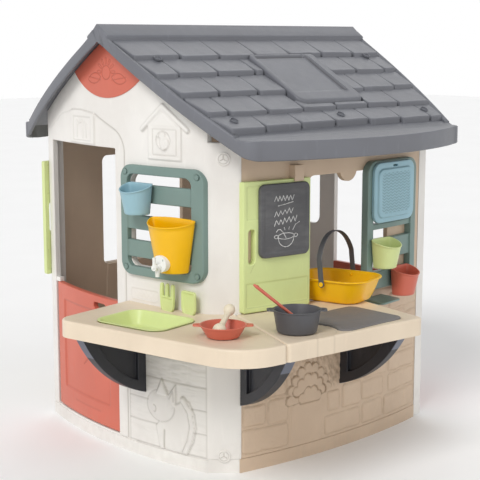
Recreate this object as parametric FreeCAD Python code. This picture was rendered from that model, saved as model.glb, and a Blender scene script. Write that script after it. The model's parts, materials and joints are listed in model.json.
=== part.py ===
"""Garden playhouse of moulded plastic panels with an outdoor play kitchen.

Millimetres. +Z is up, X runs along the roof ridge and Y across it. The door gable faces
-X and the kitchen wall faces -Y. The house is drawn about its own middle, and every
piece is shifted at export so that the origin is the middle of the whole object's base.
"""
import FreeCAD, Part
import math
import os

# ---- walls ---------------------------------------------------------------------------
GABLE_HALF_WIDTH = 450.0
GABLE_CORNER_X = 450.0
GABLE_BOW = 70.0
EAVE_HALF_LENGTH = 450.0
EAVE_CORNER_Y = 437.0
EAVE_BOW = 47.0
WALL_THICKNESS = 16.0
WALL_END_FLANGE = 38.0
POST_GABLE_Y = -384.0
POST_EAVE_X = -402.0
PLINTH_HEIGHT = 42.0
PLINTH_STEP = 3.0
EAVE_WALL_TOP = 985.0
PANEL_GAP = 4.0
SEAT_GAP = 0.5
POST_SCREW_HEIGHTS = (53.0, 938.0)
POST_SCREW_RADIUS = 20.0

# ---- roof ----------------------------------------------------------------------------
RIDGE_TOP = 1320.0
ROOF_LINE_TOP = 1305.0
ROOF_SLOPE = 0.58
ROOF_SHEET = 14.0
VERGE_APEX_X = 569.0
VERGE_CORNER = (476.0, 528.0)
EAVE_APEX_Y = 663.0
EAVE_CORNER = (433.0, 571.0)
ROOF_SKIRT = 8.0
FASCIA_BOTTOM = 940.0
FASCIA_TOP = 994.0
TILE_ROW_ENDS = (149.0, 236.0, 332.0, 417.0, 488.0)
TILE_RISE = 12.0
TILE_INSET = 18.0
RIDGE_CAP_HALF = 50.0
SKYLIGHT = (-92.0, 200.0, -388.0, -152.0)
ROOF_SCREWS = ((-460.0, -150.0), (470.0, -150.0), (-425.0, -446.0), (20.0, -446.0),
               (425.0, -446.0))

# ---- openings ------------------------------------------------------------------------
DOOR_OPENING = (-20.0, 392.0, 45.0, 948.0)
GABLE_WINDOW = (-343.0, -91.0, 599.0, 879.0)
EAVE_WINDOW = (-150.0, 221.0, 485.0, 873.0)

# ---- half door -----------------------------------------------------------------------
DOOR_THICKNESS = 18.0
DOOR_RECESS = 2.0
DOOR_HINGE_Y = 379.0
DOOR_FREE_Y = -17.0
DOOR_BOTTOM = 48.0
DOOR_TOP = 470.0
HINGE_PIN_RADIUS = 5.0
PIN_CLEARANCE = 0.05

# ---- trellises and shutters ----------------------------------------------------------
GABLE_TRELLIS = (-386.0, -62.0, 572.0, 906.0)
GABLE_TRELLIS_DEPTH = 18.0
GABLE_SLATS = ((795.0, 849.0), (712.0, 755.0), (627.0, 679.0))
EAVE_TRELLIS = (86.0, 352.0, 470.0, 900.0)
EAVE_TRELLIS_DEPTH = 26.0
EAVE_SLATS = ((682.0, 700.0), (584.0, 649.0), (490.0, 547.0))
SLAT_DEPTH = 12.0
SHUTTER_FRONT_X = (-404.0, -160.0)
SHUTTER_BACK_X = (-478.0, -234.0)
SHUTTER_Z = (487.5, 872.0)
SHUTTER_DEPTH = 18.0
SHUTTER_LIFT_OFF = 1.0
KITCHEN_LUGS = (-209.0,)
BACK_LUGS = (250.0, 78.0)

# ---- worktop -------------------------------------------------------------------------
WORKTOP_TOP = 485.0
WORKTOP_PLATE = 12.0
WORKTOP_FASCIA = 50.0
WORKTOP_SKIRT = 8.0
WORKTOP_CORNER = (-707.0, -785.0, 140.0)
WORKTOP_LEFT_END = (-832.0, -132.0, 50.0)
WORKTOP_RIGHT_END = (-44.0, -842.0, 25.0)
SEAM_OUTER = (-557.0, -797.8)
SEAM_INNER = (-412.0, -435.0)
SEAM_GAP = 1.0
BRACKET_REACH = 258.0
BRACKET_BOTTOM = 207.0
BRACKET_THICKNESS = 34.0

# ---- loose pieces --------------------------------------------------------------------
SINK_CENTRE = (-653.0, -324.0)
SINK_SIZE = (190.0, 250.0, 46.0)
SINK_TURN = 10.4
SINK_DEPTH = 42.0
HOB_CENTRE = (-413.0, -725.0)
HOB_RADIUS = 84.0
BOARD_X = (-335.0, -86.0)
BOARD_Y = (-803.0, -598.0)
POT_CENTRE = (-429.0, -707.0)
POT_TOP_RADIUS = 65.0
POT_FOOT_RADIUS = 55.0
POT_HEIGHT = 64.0
COLANDER_CENTRE = (-620.0, -617.0)
COLANDER_RADIUS = 63.0
COLANDER_HEIGHT = 34.0
BASKET_CENTRE = (-34.0, -494.0)
BASKET_TURN = -75.0
BASKET_HALF = (122.0, 95.0)
BASKET_HEIGHT = 74.0
BASKET_TAPER = 0.76
HANDLE_RISE = 148.0
HANDLE_LEAN = -6.0
EAR_HEADING = -43.0
PLANTER_WIDTH = 100.0
PLANTER_DEPTH = 76.0
PLANTER_HEIGHT = 92.0
PLANTER_BACK_RISE = 22.0
PLANTER_FOOT_SCALE = 0.74
BLUE_Y = -158.0
GREEN_X = 148.5
RED_X = 252.0
TANK_WIDTH = 170.0
TANK_DEPTH = 80.0
TANK_HEIGHT = 158.0
TANK_BACK_RISE = 20.0
TANK_FOOT_SCALE = 0.66
TANK_Y = -286.0
TAP_HEIGHT = 32.0
TAP_BORE_RADIUS = 6.0
TAP_RADIUS = 25.0
TAP_REACH = 72.0
TAP_PIVOT_DROP = 8.0
TOOL_SLOT_DEPTH = 9.0
TOOL_THICKNESS = 8.0
TOOL_OUT = 21.0
FORK_Y = -262.0
TROWEL_Y = -340.0

# ---- worked out ----------------------------------------------------------------------
V = FreeCAD.Vector
UP = V(0, 0, 1)


def arc_radius(half_chord, rise):
    """Radius of the arc that rises by rise over a chord of twice half_chord."""
    return (half_chord ** 2 + rise ** 2) / (2 * rise)


GABLE_R = arc_radius(GABLE_HALF_WIDTH, GABLE_BOW)
GABLE_CX = GABLE_R - GABLE_CORNER_X - GABLE_BOW
EAVE_R = arc_radius(EAVE_HALF_LENGTH, EAVE_BOW)
EAVE_CY = EAVE_R - EAVE_CORNER_Y - EAVE_BOW


def gable_x(y, out=0.0):
    """X of the door gable's outer face at y, moved outwards by out."""
    return GABLE_CX - math.sqrt((GABLE_R + out) ** 2 - y * y)


def eave_y(x, out=0.0):
    """Y of the kitchen wall's outer face at x, moved outwards by out."""
    return EAVE_CY - math.sqrt((EAVE_R + out) ** 2 - x * x)


def roof_line(y):
    """Height of the roof's plain surface at y, before the tiles."""
    return ROOF_LINE_TOP - ROOF_SLOPE * abs(y)


# ---- drawing helpers -----------------------------------------------------------------
def on_plan(z):
    """Places outline points on a level plane at height z."""
    return lambda u, v: V(u, v, z)


def on_gable(x):
    """Places outline points (y, z) on the upright plane at x."""
    return lambda u, v: V(x, u, v)


def on_eave(y):
    """Places outline points (x, z) on the upright plane at y."""
    return lambda u, v: V(u, y, v)


def outline(corners, place):
    """Closed wire through corners (u, v) or (u, v, radius), with rounded corners."""
    points = [(c[0], c[1], c[2] if len(c) > 2 else 0.0) for c in corners]
    stations = []
    for index, (u, v, radius) in enumerate(points):
        before = points[index - 1]
        after = points[(index + 1) % len(points)]
        if radius <= 0:
            stations.append(((u, v), None, (u, v)))
            continue
        a = (before[0] - u, before[1] - v)
        b = (after[0] - u, after[1] - v)
        la = math.hypot(*a)
        lb = math.hypot(*b)
        a = (a[0] / la, a[1] / la)
        b = (b[0] / lb, b[1] / lb)
        half = 0.5 * math.acos(max(-1.0, min(1.0, a[0] * b[0] + a[1] * b[1])))
        reach = radius / math.tan(half)
        middle = (a[0] + b[0], a[1] + b[1])
        size = math.hypot(*middle)
        depth = radius / math.sin(half) - radius
        stations.append((
            (u + a[0] * reach, v + a[1] * reach),
            (u + middle[0] / size * depth, v + middle[1] / size * depth),
            (u + b[0] * reach, v + b[1] * reach)))
    edges = []
    for index, (enter, mid, leave) in enumerate(stations):
        if mid is not None:
            edges.append(Part.Arc(place(*enter), place(*mid), place(*leave)).toShape())
        following = stations[(index + 1) % len(stations)][0]
        if math.hypot(following[0] - leave[0], following[1] - leave[1]) > 1e-6:
            edges.append(Part.LineSegment(place(*leave), place(*following)).toShape())
    return Part.Wire(edges)


def prism(corners, place, depth):
    """Solid of an outline pushed along the vector depth."""
    return Part.Face(outline(corners, place)).extrude(depth)


def plan_prism(corners, bottom, top):
    return prism(corners, on_plan(bottom), V(0, 0, top - bottom))


def gable_prism(corners, x0=-900.0, x1=0.0):
    return prism(corners, on_gable(x0), V(x1 - x0, 0, 0))


def eave_prism(corners, y0=-900.0, y1=0.0):
    return prism(corners, on_eave(y0), V(0, y1 - y0, 0))


def rectangle(box, radius=0.0, grow=0.0):
    """Corners of a rectangle (u0, u1, v0, v1), grown on all sides."""
    u0, u1, v0, v1 = box
    low_u = u0 - grow
    high_u = u1 + grow
    low_v = v0 - grow
    high_v = v1 + grow
    return [(low_u, low_v, radius), (high_u, low_v, radius),
            (high_u, high_v, radius), (low_u, high_v, radius)]


def block(x0, x1, y0, y1, z0, z1):
    return Part.makeBox(x1 - x0, y1 - y0, z1 - z0, V(x0, y0, z0))


def cylinder(radius, height, base, axis=UP):
    return Part.makeCylinder(radius, height, base, axis)


def cone(bottom_radius, top_radius, height, base, axis=UP):
    return Part.makeCone(bottom_radius, top_radius, height, base, axis)


def ring(centre, inner, outer, bottom, top):
    """Upright tube about centre."""
    base = V(centre[0], centre[1], bottom)
    tube = cylinder(outer, top - bottom, base)
    return tube.cut(cylinder(inner, top - bottom, base))


def gable_sheet(corners, inner, outer):
    """Bowed sheet parallel to the door gable, between two offsets from its outer face."""
    lows = [c[1] for c in corners]
    band = ring((GABLE_CX, 0), GABLE_R + inner, GABLE_R + outer, min(lows) - 1, max(lows) + 1)
    return band.common(gable_prism(corners))


def eave_sheet(corners, inner, outer):
    """Bowed sheet parallel to the kitchen wall, between two offsets from its outer face."""
    lows = [c[1] for c in corners]
    band = ring((0, EAVE_CY), EAVE_R + inner, EAVE_R + outer, min(lows) - 1, max(lows) + 1)
    return band.common(eave_prism(corners))


def half_turn(shape):
    """The same piece on the opposite side of the house."""
    turned = shape.copy()
    turned.rotate(V(0, 0, 0), UP, 180)
    return turned


def mirrored(shape):
    """The piece mirrored to the back of the house."""
    return shape.mirror(V(0, 0, 0), V(0, 1, 0))


def loft(sections):
    """Solid through closed wires."""
    return Part.makeLoft(sections, True, True)


# ---- walls ---------------------------------------------------------------------------
def post_corners():
    """Outer edge points of the slanted corner post, and its inward normal."""
    a = (gable_x(POST_GABLE_Y), POST_GABLE_Y)
    b = (POST_EAVE_X, eave_y(POST_EAVE_X))
    run = (b[0] - a[0], b[1] - a[1])
    size = math.hypot(*run)
    normal = (-run[1] / size, run[0] / size)
    return a, b, normal


def gable_profile():
    """Side view of the gable under the roof sheet, as (y, z) corners."""
    drop = ROOF_SHEET + SEAT_GAP
    far = GABLE_HALF_WIDTH
    return [(POST_GABLE_Y, 0), (far, 0), (far, roof_line(far) - drop),
            (0, roof_line(0) - drop), (POST_GABLE_Y, roof_line(POST_GABLE_Y) - drop)]


def corner_post():
    """Slanted post that the gable panel turns round the house corner."""
    a, b, normal = post_corners()
    inner_b = (b[0] + normal[0] * WALL_THICKNESS, b[1] + normal[1] * WALL_THICKNESS)
    inner_a = (a[0] + normal[0] * WALL_THICKNESS, a[1] + normal[1] * WALL_THICKNESS)
    post = plan_prism([a, b, inner_b, inner_a], 0, EAVE_WALL_TOP)
    for z in POST_SCREW_HEIGHTS:
        post = post.cut(post_screw_shank(z, PIN_CLEARANCE))
    return post


def post_screw_shank(z, clearance=0.0):
    a, b, normal = post_corners()
    middle = V(0.5 * (a[0] + b[0]) - normal[0] * 2, 0.5 * (a[1] + b[1]) - normal[1] * 2, z)
    return cylinder(7.0 + clearance, WALL_THICKNESS + 4, middle, V(normal[0], normal[1], 0))


def gable_wall():
    wall = gable_sheet(gable_profile(), -WALL_THICKNESS, 0)
    foot = [(POST_GABLE_Y, 0), (GABLE_HALF_WIDTH, 0),
            (GABLE_HALF_WIDTH, PLINTH_HEIGHT - 4), (POST_GABLE_Y, PLINTH_HEIGHT - 4)]
    wall = wall.fuse(gable_sheet(foot, -1, PLINTH_STEP))
    flange = block(-GABLE_CORNER_X + 5, -GABLE_CORNER_X + WALL_END_FLANGE,
                   GABLE_HALF_WIDTH - 34, GABLE_HALF_WIDTH, 0, EAVE_WALL_TOP)
    wall = wall.fuse(flange)
    wall = wall.common(cylinder(EAVE_R, 1400, V(0, -EAVE_CY, 0)))
    wall = wall.fuse(corner_post())
    wall = wall.cut(gable_prism(rectangle(DOOR_OPENING, 6), -900, -300))
    wall = wall.cut(gable_prism(rectangle(GABLE_WINDOW, 30), -900, -300))
    lug = door_lug()
    wall = wall.fuse(lug)
    for pin in door_pins(PIN_CLEARANCE):
        wall = wall.cut(pin)
    for centre in trellis_screw_places(GABLE_TRELLIS, 22):
        wall = wall.cut(trellis_bore(centre))
    return wall.removeSplitter()


def door_axis():
    """Plan position of the half door's hinge axis."""
    depth = DOOR_RECESS + DOOR_THICKNESS / 2
    return gable_x(DOOR_HINGE_Y) + depth, DOOR_HINGE_Y


def door_lug():
    """Ear on the jamb that holds the upper hinge pin."""
    x, y = door_axis()
    return block(x - 8, x + 8, y - 9, DOOR_OPENING[1] + 4, DOOR_TOP + 1, DOOR_TOP + 15)


def door_pins(clearance=0.0):
    """Upper and lower hinge pins, or the holes for them."""
    x, y = door_axis()
    radius = HINGE_PIN_RADIUS + clearance
    lower = cylinder(radius, 24 + clearance, V(x, y, DOOR_BOTTOM - 12 - clearance))
    upper = cylinder(radius, 26, V(x, y, DOOR_TOP - 12))
    return [lower, upper]


def eave_wall(window, lug_places):
    """Long wall with its window, its plinth and the lugs that hold a shutter."""
    left = POST_EAVE_X + SEAT_GAP
    right = EAVE_HALF_LENGTH - WALL_END_FLANGE - PANEL_GAP
    body = eave_sheet(rectangle((left, right, 0, EAVE_WALL_TOP)), -WALL_THICKNESS, 0)
    foot = rectangle((left, right, 0, PLINTH_HEIGHT))
    wall = body.fuse(eave_sheet(foot, -1, PLINTH_STEP))
    wall = wall.cut(eave_prism(rectangle(window, 22), -900, -300))
    for x in lug_places:
        wall = wall.fuse(shutter_lug(x))
    tab = cylinder(38, WALL_THICKNESS, V(20, eave_y(20), window[3] + 10), V(0, 1, 0))
    tab = tab.common(block(-40, 80, -600, -300, window[3] - 30, window[3] + 2))
    a, b, normal = post_corners()
    corner_cut = plan_prism([(b[0] - 40, b[1] - 40), b, (b[0] + normal[0] * 60,
                             b[1] + normal[1] * 60), (b[0] - 60, b[1] + 60)], -1, 1100)
    return wall.fuse(tab).cut(corner_cut).removeSplitter()


def shutter_lug(x):
    """Block above the shutter with a lip that hangs in front of its top edge."""
    gap = SHUTTER_LIFT_OFF
    top = SHUTTER_Z[1]
    half = 17.0
    head = eave_sheet(rectangle((x - half, x + half, top + 1.5, top + 39)),
                      -2, SHUTTER_DEPTH + gap + 5)
    lip = eave_sheet(rectangle((x - half, x + half, top - 8, top + 10)),
                     SHUTTER_DEPTH + gap + 1, SHUTTER_DEPTH + gap + 5)
    return head.fuse(lip)


def back_ledge():
    """Ledge under the back shutter, outside the back wall, drawn on the kitchen side."""
    return eave_sheet(rectangle((-40, 400, 466, 486)), 0, SHUTTER_DEPTH + 8)


# ---- roof ----------------------------------------------------------------------------
def roof_plan(inset):
    """Plan face of one roof half, from the ridge to the bowed eave."""
    apex = VERGE_APEX_X - inset
    corner = (VERGE_CORNER[0] - inset, VERGE_CORNER[1] - inset)
    eave_corner = (EAVE_CORNER[0] - inset, EAVE_CORNER[1] - inset)
    eave_apex = EAVE_APEX_Y - inset
    ridge = 0.0
    radius = arc_radius(corner[1], apex - corner[0])
    middle_y = corner[1] / 2
    middle_x = apex - (radius - math.sqrt(radius ** 2 - middle_y ** 2))
    bend = 0.30
    corner_mid = (corner[0] * 0.5 + eave_corner[0] * 0.5 + bend * 30,
                  corner[1] * 0.5 + eave_corner[1] * 0.5 + bend * 30)

    def p(x, y):
        return V(x, y, 0)

    edges = [
        Part.LineSegment(p(-apex, ridge), p(apex, ridge)).toShape(),
        Part.Arc(p(apex, ridge), p(middle_x, -middle_y), p(corner[0], -corner[1])).toShape(),
        Part.Arc(p(corner[0], -corner[1]), p(corner_mid[0], -corner_mid[1]),
                 p(eave_corner[0], -eave_corner[1])).toShape(),
        Part.Arc(p(eave_corner[0], -eave_corner[1]), p(0, -eave_apex),
                 p(-eave_corner[0], -eave_corner[1])).toShape(),
        Part.Arc(p(-eave_corner[0], -eave_corner[1]), p(-corner_mid[0], -corner_mid[1]),
                 p(-corner[0], -corner[1])).toShape(),
        Part.Arc(p(-corner[0], -corner[1]), p(-middle_x, -middle_y), p(-apex, ridge)).toShape()]
    return Part.Face(Part.Wire(edges))


def roof_block(inset, profile):
    """One roof half's plan, cut to a side view of (y, z) corners."""
    tall = roof_plan(inset).extrude(V(0, 0, 1500))
    return tall.common(gable_prism(profile, -700, 700))


def tile_profile():
    """Saw-tooth side view of the tile rows."""
    valley = -8.0
    start = RIDGE_CAP_HALF - 4
    profile = [(-start, roof_line(start) + valley)]
    for end in TILE_ROW_ENDS:
        profile.append((-end, roof_line(end) + valley + TILE_RISE))
        profile.append((-end, roof_line(end) + valley))
    last = TILE_ROW_ENDS[-1]
    profile.append((-last, roof_line(last) + valley - 4))
    profile.append((-start, roof_line(start) + valley - 4))
    return profile


def roof_half():
    lip = TILE_ROW_ENDS[-1]
    verge_y = VERGE_CORNER[1]
    outer = EAVE_APEX_Y + 20
    drop = 9.0
    top = [(0, RIDGE_TOP), (-RIDGE_CAP_HALF, roof_line(RIDGE_CAP_HALF) + 10),
           (-RIDGE_CAP_HALF, roof_line(RIDGE_CAP_HALF) - drop),
           (-lip, roof_line(lip) - drop), (-verge_y, FASCIA_TOP + 5), (-outer, FASCIA_TOP)]
    bottom = [(-outer, FASCIA_BOTTOM), (-EAVE_CORNER[1], FASCIA_BOTTOM),
              (-verge_y, FASCIA_BOTTOM + 14), (0, 1268)]
    shell = roof_block(0, top + bottom)
    border = roof_block(0, [(0, roof_line(0)), (-lip - 20, roof_line(lip + 20)),
                            (-lip - 20, roof_line(lip + 20) - 12), (0, roof_line(0) - 12)])
    border = border.cut(roof_plan(TILE_INSET).extrude(V(0, 0, 1500)))
    hollow = roof_block(ROOF_SKIRT, [
        (0, roof_line(0) - ROOF_SHEET), (-lip, roof_line(lip) - ROOF_SHEET),
        (-verge_y, FASCIA_TOP - 8), (-outer, FASCIA_TOP - ROOF_SKIRT),
        (-outer, 800), (0, 800)])
    tiles = roof_block(TILE_INSET + 2, tile_profile())
    panel = skylight_panel()
    half = shell.fuse([border, tiles, panel]).cut(hollow)
    for x, y in ROOF_SCREWS:
        half = half.cut(roof_screw(x, y, 0.5))
    return half.removeSplitter()


def skylight_panel():
    """Smooth raised panel among the tiles."""
    x0, x1, y0, y1 = SKYLIGHT
    rise = 9.0
    side = [(y1, roof_line(y1) + rise), (y0, roof_line(y0) + rise),
            (y0, roof_line(y0) - 12), (y1, roof_line(y1) - 12)]
    plate = gable_prism(side, x0, x1)
    plan = plan_prism([(x0, y0, 30), (x1, y0, 30), (x1, y1), (x0, y1)], 1000, 1400)
    return plate.common(plan)


def roof_screw(x, y, clearance=0.0):
    """Screw head sunk in a tile, square to the slope."""
    normal = V(0, -ROOF_SLOPE, 1)
    normal.normalize()
    base = V(x, y, roof_line(y) - 11)
    return cylinder(11 + clearance, 26, base - normal * clearance, normal)


def roof_screws():
    heads = []
    for x, y in ROOF_SCREWS:
        base = V(x, y, roof_line(y) - 11)
        normal = V(0, -ROOF_SLOPE, 1)
        normal.normalize()
        head = cylinder(11, 12, base, normal)
        slot = block(-8, 8, -1.5, 1.5, -3, 3)
        slot.translate(base + normal * 12)
        heads.append(head.cut(slot))
    return Part.makeCompound(heads + [half_turn(h) for h in heads])


# ---- gable plate ---------------------------------------------------------------------
def gable_plate():
    """Coral plate in the peak of the gable, with a round lower edge."""
    top = roof_line(0) - ROOF_SHEET - SEAT_GAP - 2
    peak = [(-195, top - ROOF_SLOPE * 195), (0, top), (195, top - ROOF_SLOPE * 195), (195, 1000),
            (-195, 1000)]
    sheet = gable_sheet(peak, 0.3, 6)
    disc = cylinder(250, 700, V(-900, 20, 1098 + 250), V(1, 0, 0))
    return sheet.common(disc)


# ---- half door -----------------------------------------------------------------------
def half_door():
    x, y = door_axis()
    panel = gable_sheet(rectangle((DOOR_FREE_Y, DOOR_HINGE_Y, DOOR_BOTTOM, DOOR_TOP), 3),
                        -DOOR_RECESS - DOOR_THICKNESS, -DOOR_RECESS)
    edge = cylinder(DOOR_THICKNESS / 2, DOOR_TOP - DOOR_BOTTOM, V(x, y, DOOR_BOTTOM))
    panel = panel.fuse(edge)
    field = rectangle((35, 330, 122, 418), 8)
    panel = panel.cut(gable_sheet(field, -DOOR_RECESS - 4, 5))
    slot = rectangle((52, 120, 426, 448), 10)
    panel = panel.cut(gable_prism(slot, -900, -300))
    for pin in door_pins(PIN_CLEARANCE):
        panel = panel.cut(pin)
    return panel.removeSplitter()


# ---- trellises -----------------------------------------------------------------------
def trellis_screw_places(box, inset):
    u0, u1, v0, v1 = box
    return [(u0 + inset, v0 + inset), (u1 - inset, v0 + inset),
            (u1 - inset, v1 - inset), (u0 + inset, v1 - inset)]


def trellis_bore(centre):
    """Hole for a screw through the gable trellis at (y, z)."""
    y, z = centre
    start = gable_x(y, GABLE_TRELLIS_DEPTH)
    return cylinder(3.0 + PIN_CLEARANCE, GABLE_TRELLIS_DEPTH + 14, V(start, y, z), V(1, 0, 0))


def trellis_gable():
    frame = gable_sheet(rectangle(GABLE_TRELLIS, 42), 0.3, GABLE_TRELLIS_DEPTH)
    frame = frame.cut(gable_prism(rectangle(GABLE_WINDOW, 24), -900, -300))
    inner = (GABLE_WINDOW[0] - 6, GABLE_WINDOW[1] + 6)
    for z0, z1 in GABLE_SLATS:
        slat = gable_sheet(rectangle((inner[0], inner[1], z0, z1)),
                           GABLE_TRELLIS_DEPTH - SLAT_DEPTH, GABLE_TRELLIS_DEPTH)
        frame = frame.fuse(slat)
    for centre in trellis_screw_places(GABLE_TRELLIS, 22):
        frame = frame.cut(trellis_bore(centre))
        y, z = centre
        seat = cylinder(8.5, 5.0, V(gable_x(y, GABLE_TRELLIS_DEPTH) - 3, y, z), V(1, 0, 0))
        frame = frame.cut(seat)
    return frame.removeSplitter()


def trellis_screws():
    screws = []
    for y, z in trellis_screw_places(GABLE_TRELLIS, 22):
        start = gable_x(y, GABLE_TRELLIS_DEPTH)
        head = cylinder(8.0, 3.0, V(start - 1.0, y, z), V(1, 0, 0))
        shank = cylinder(3.0, GABLE_TRELLIS_DEPTH + 10, V(start + 1.9, y, z), V(1, 0, 0))
        screws.append(head.fuse(shank))
    return Part.makeCompound(screws)


def trellis_kitchen():
    x0, x1, z0, z1 = EAVE_TRELLIS
    leg = 30.0
    corners = [(x0, z0), (x1, z0), (x1, z1, 40), (x0, z1, 40)]
    frame = eave_sheet(corners, 0.3, EAVE_TRELLIS_DEPTH)
    hole = rectangle((x0 + leg, x1 - leg, z0 - 5, z1 - leg), 0)
    frame = frame.cut(eave_prism([(hole[0][0], z0 - 5), (hole[1][0], z0 - 5),
                                  (hole[2][0], z1 - leg, 22), (hole[3][0], z1 - leg, 22)]))
    for s0, s1 in EAVE_SLATS:
        slat = eave_sheet(rectangle((x0 + leg - 4, x1 - leg + 4, s0, s1)),
                          EAVE_TRELLIS_DEPTH - SLAT_DEPTH, EAVE_TRELLIS_DEPTH)
        frame = frame.fuse(slat)
    return frame.removeSplitter()


def wash_board():
    """Board with a raised field that hangs on the upper half of the kitchen trellis."""
    near = EAVE_TRELLIS_DEPTH + 0.5
    board = eave_sheet(rectangle((104, 322, 704, 895), 32), near, near + 11)
    field = eave_sheet(rectangle((124, 303, 722, 872), 24), near + 10, near + 16)
    slot = eave_prism(rectangle((200, 226, 880, 886), 2.5))
    lip = eave_sheet(rectangle((140, 286, 900.6, 904.6)), near - 12, near + 2)
    hook = eave_sheet(rectangle((140, 286, 890, 904.6)), near, near + 9)
    return board.fuse([field, hook]).fuse(lip).cut(slot).removeSplitter()


def sill_shelf():
    """Small flat shelf that sticks out under the kitchen trellis."""
    shelf = plan_prism([(92, -470), (196, -470), (190, -562, 14), (84, -578, 14)], 458, 464)
    shelf = shelf.cut(cylinder(EAVE_R + 0.4, 100, V(0, EAVE_CY, 420)))
    stem = eave_sheet(rectangle((98, 186, 430, 460)), 0.4, 6)
    return shelf.fuse(stem).removeSplitter()


# ---- shutters ------------------------------------------------------------------------
def shutter(left, right):
    """Sliding shutter, bowed like its wall, with a hand slot near its left edge."""
    near = SHUTTER_LIFT_OFF
    z0, z1 = SHUTTER_Z
    body = eave_sheet(rectangle((left, right, z0, z1), 5), near, near + SHUTTER_DEPTH)
    slot = eave_prism(rectangle((left + 17, left + 40, 631, 733), 11))
    upper = eave_sheet(rectangle((left + 12, left + 44, 762, 858), 3),
                       near + SHUTTER_DEPTH - 2, near + SHUTTER_DEPTH + 4)
    lower = eave_sheet(rectangle((left + 12, right - 12, 505, 575), 3),
                       near + SHUTTER_DEPTH - 1.5, near + SHUTTER_DEPTH + 4)
    return body.cut(slot).cut(upper).cut(lower).removeSplitter()


def blackboard():
    near = SHUTTER_LIFT_OFF + SHUTTER_DEPTH + 0.3
    left = SHUTTER_FRONT_X[0]
    box = (left + 50, left + 231, 646, 862)
    board = eave_sheet(rectangle(box, 20), near, near + 11)
    field = eave_sheet(rectangle((box[0] + 14, box[1] - 14, box[2] + 14, box[3] - 14), 6),
                       near + 9, near + 16)
    return board.cut(field)


# ---- worktop -------------------------------------------------------------------------
def house_core(grow):
    """Solid inside of the outer wall faces, grown outwards."""
    base = V(GABLE_CX, 0, 300)
    core = cylinder(GABLE_R + grow, 400, base)
    core = core.common(cylinder(EAVE_R + grow, 400, V(0, EAVE_CY, 300)))
    a, b, normal = post_corners()
    run = V(b[0] - a[0], b[1] - a[1], 0)
    run.normalize()
    inward = V(normal[0], normal[1], 0)
    start = V(a[0], a[1], 0) - inward * grow - run * 1500
    far = [start, start + run * 3000, start + run * 3000 + inward * 2500,
           start + inward * 2500]
    corners = [(p.x, p.y) for p in far]
    return core.common(plan_prism(corners, 300, 700))


def worktop(corners):
    """Plate with a skirt along its free edges, cut to fit round the house."""
    bottom = WORKTOP_TOP - WORKTOP_FASCIA
    solid = plan_prism(corners, bottom, WORKTOP_TOP)
    face = Part.Face(outline(corners, on_plan(bottom)))
    hollow = face.makeOffset2D(-WORKTOP_SKIRT)
    hollow = hollow.extrude(V(0, 0, WORKTOP_FASCIA - WORKTOP_PLATE))
    return solid.cut(hollow).cut(house_core(SEAT_GAP))


def worktop_left():
    left = [(-480, -65), WORKTOP_LEFT_END, WORKTOP_CORNER, SEAM_OUTER, SEAM_INNER,
            (-380, -380)]
    plate = worktop(left)
    hole = sink_outline(-2.0)
    plate = plate.cut(plan_prism(hole, 400, 600))
    return plate.cut([tool_slot(FORK_Y), tool_slot(TROWEL_Y)]).removeSplitter()


def worktop_right():
    shift = SEAM_GAP
    right = [(SEAM_INNER[0] + shift, SEAM_INNER[1]), (SEAM_OUTER[0] + shift, SEAM_OUTER[1]),
             WORKTOP_RIGHT_END, (32, -420)]
    plate = worktop(right)
    plate = plate.cut(board_shape(1.0, WORKTOP_TOP - 6, WORKTOP_TOP + 10))
    centre = HOB_CENTRE
    recess = cylinder(HOB_RADIUS, 5, V(centre[0], centre[1], WORKTOP_TOP - 2))
    return plate.cut(recess).removeSplitter()


def sink_outline(grow):
    """Turned rounded rectangle of the sink, about its centre."""
    half_x = SINK_SIZE[0] / 2 + grow
    half_y = SINK_SIZE[1] / 2 + grow
    radius = SINK_SIZE[2] + grow
    turn = math.radians(SINK_TURN)
    corners = []
    for u, v in ((-half_x, -half_y), (half_x, -half_y), (half_x, half_y), (-half_x, half_y)):
        x = SINK_CENTRE[0] + u * math.cos(turn) - v * math.sin(turn)
        y = SINK_CENTRE[1] + u * math.sin(turn) + v * math.cos(turn)
        corners.append((x, y, radius))
    return corners


def sink_basin():
    top = WORKTOP_TOP
    flange = plan_prism(sink_outline(0), top + 0.2, top + 2.5)
    wall_top = outline(sink_outline(-4.0), on_plan(top + 2.5))
    wall_bottom = outline(sink_outline(-22.0), on_plan(top - SINK_DEPTH))
    outer = loft([wall_bottom, wall_top])
    inner_top = outline(sink_outline(-7.0), on_plan(top + 2.6))
    inner_bottom = outline(sink_outline(-25.0), on_plan(top - SINK_DEPTH + 3))
    inner = loft([inner_bottom, inner_top])
    return flange.fuse(outer).cut(inner).removeSplitter()


def board_shape(grow, bottom, top):
    """Cutting board with one side cut round the hob."""
    box = (BOARD_X[0], BOARD_X[1], BOARD_Y[0], BOARD_Y[1])
    shape = plan_prism(rectangle(box, 26 + grow, grow), bottom, top)
    radius = HOB_RADIUS + 9 - grow
    return shape.cut(cylinder(radius, 80, V(HOB_CENTRE[0], HOB_CENTRE[1], bottom - 5)))


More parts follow.
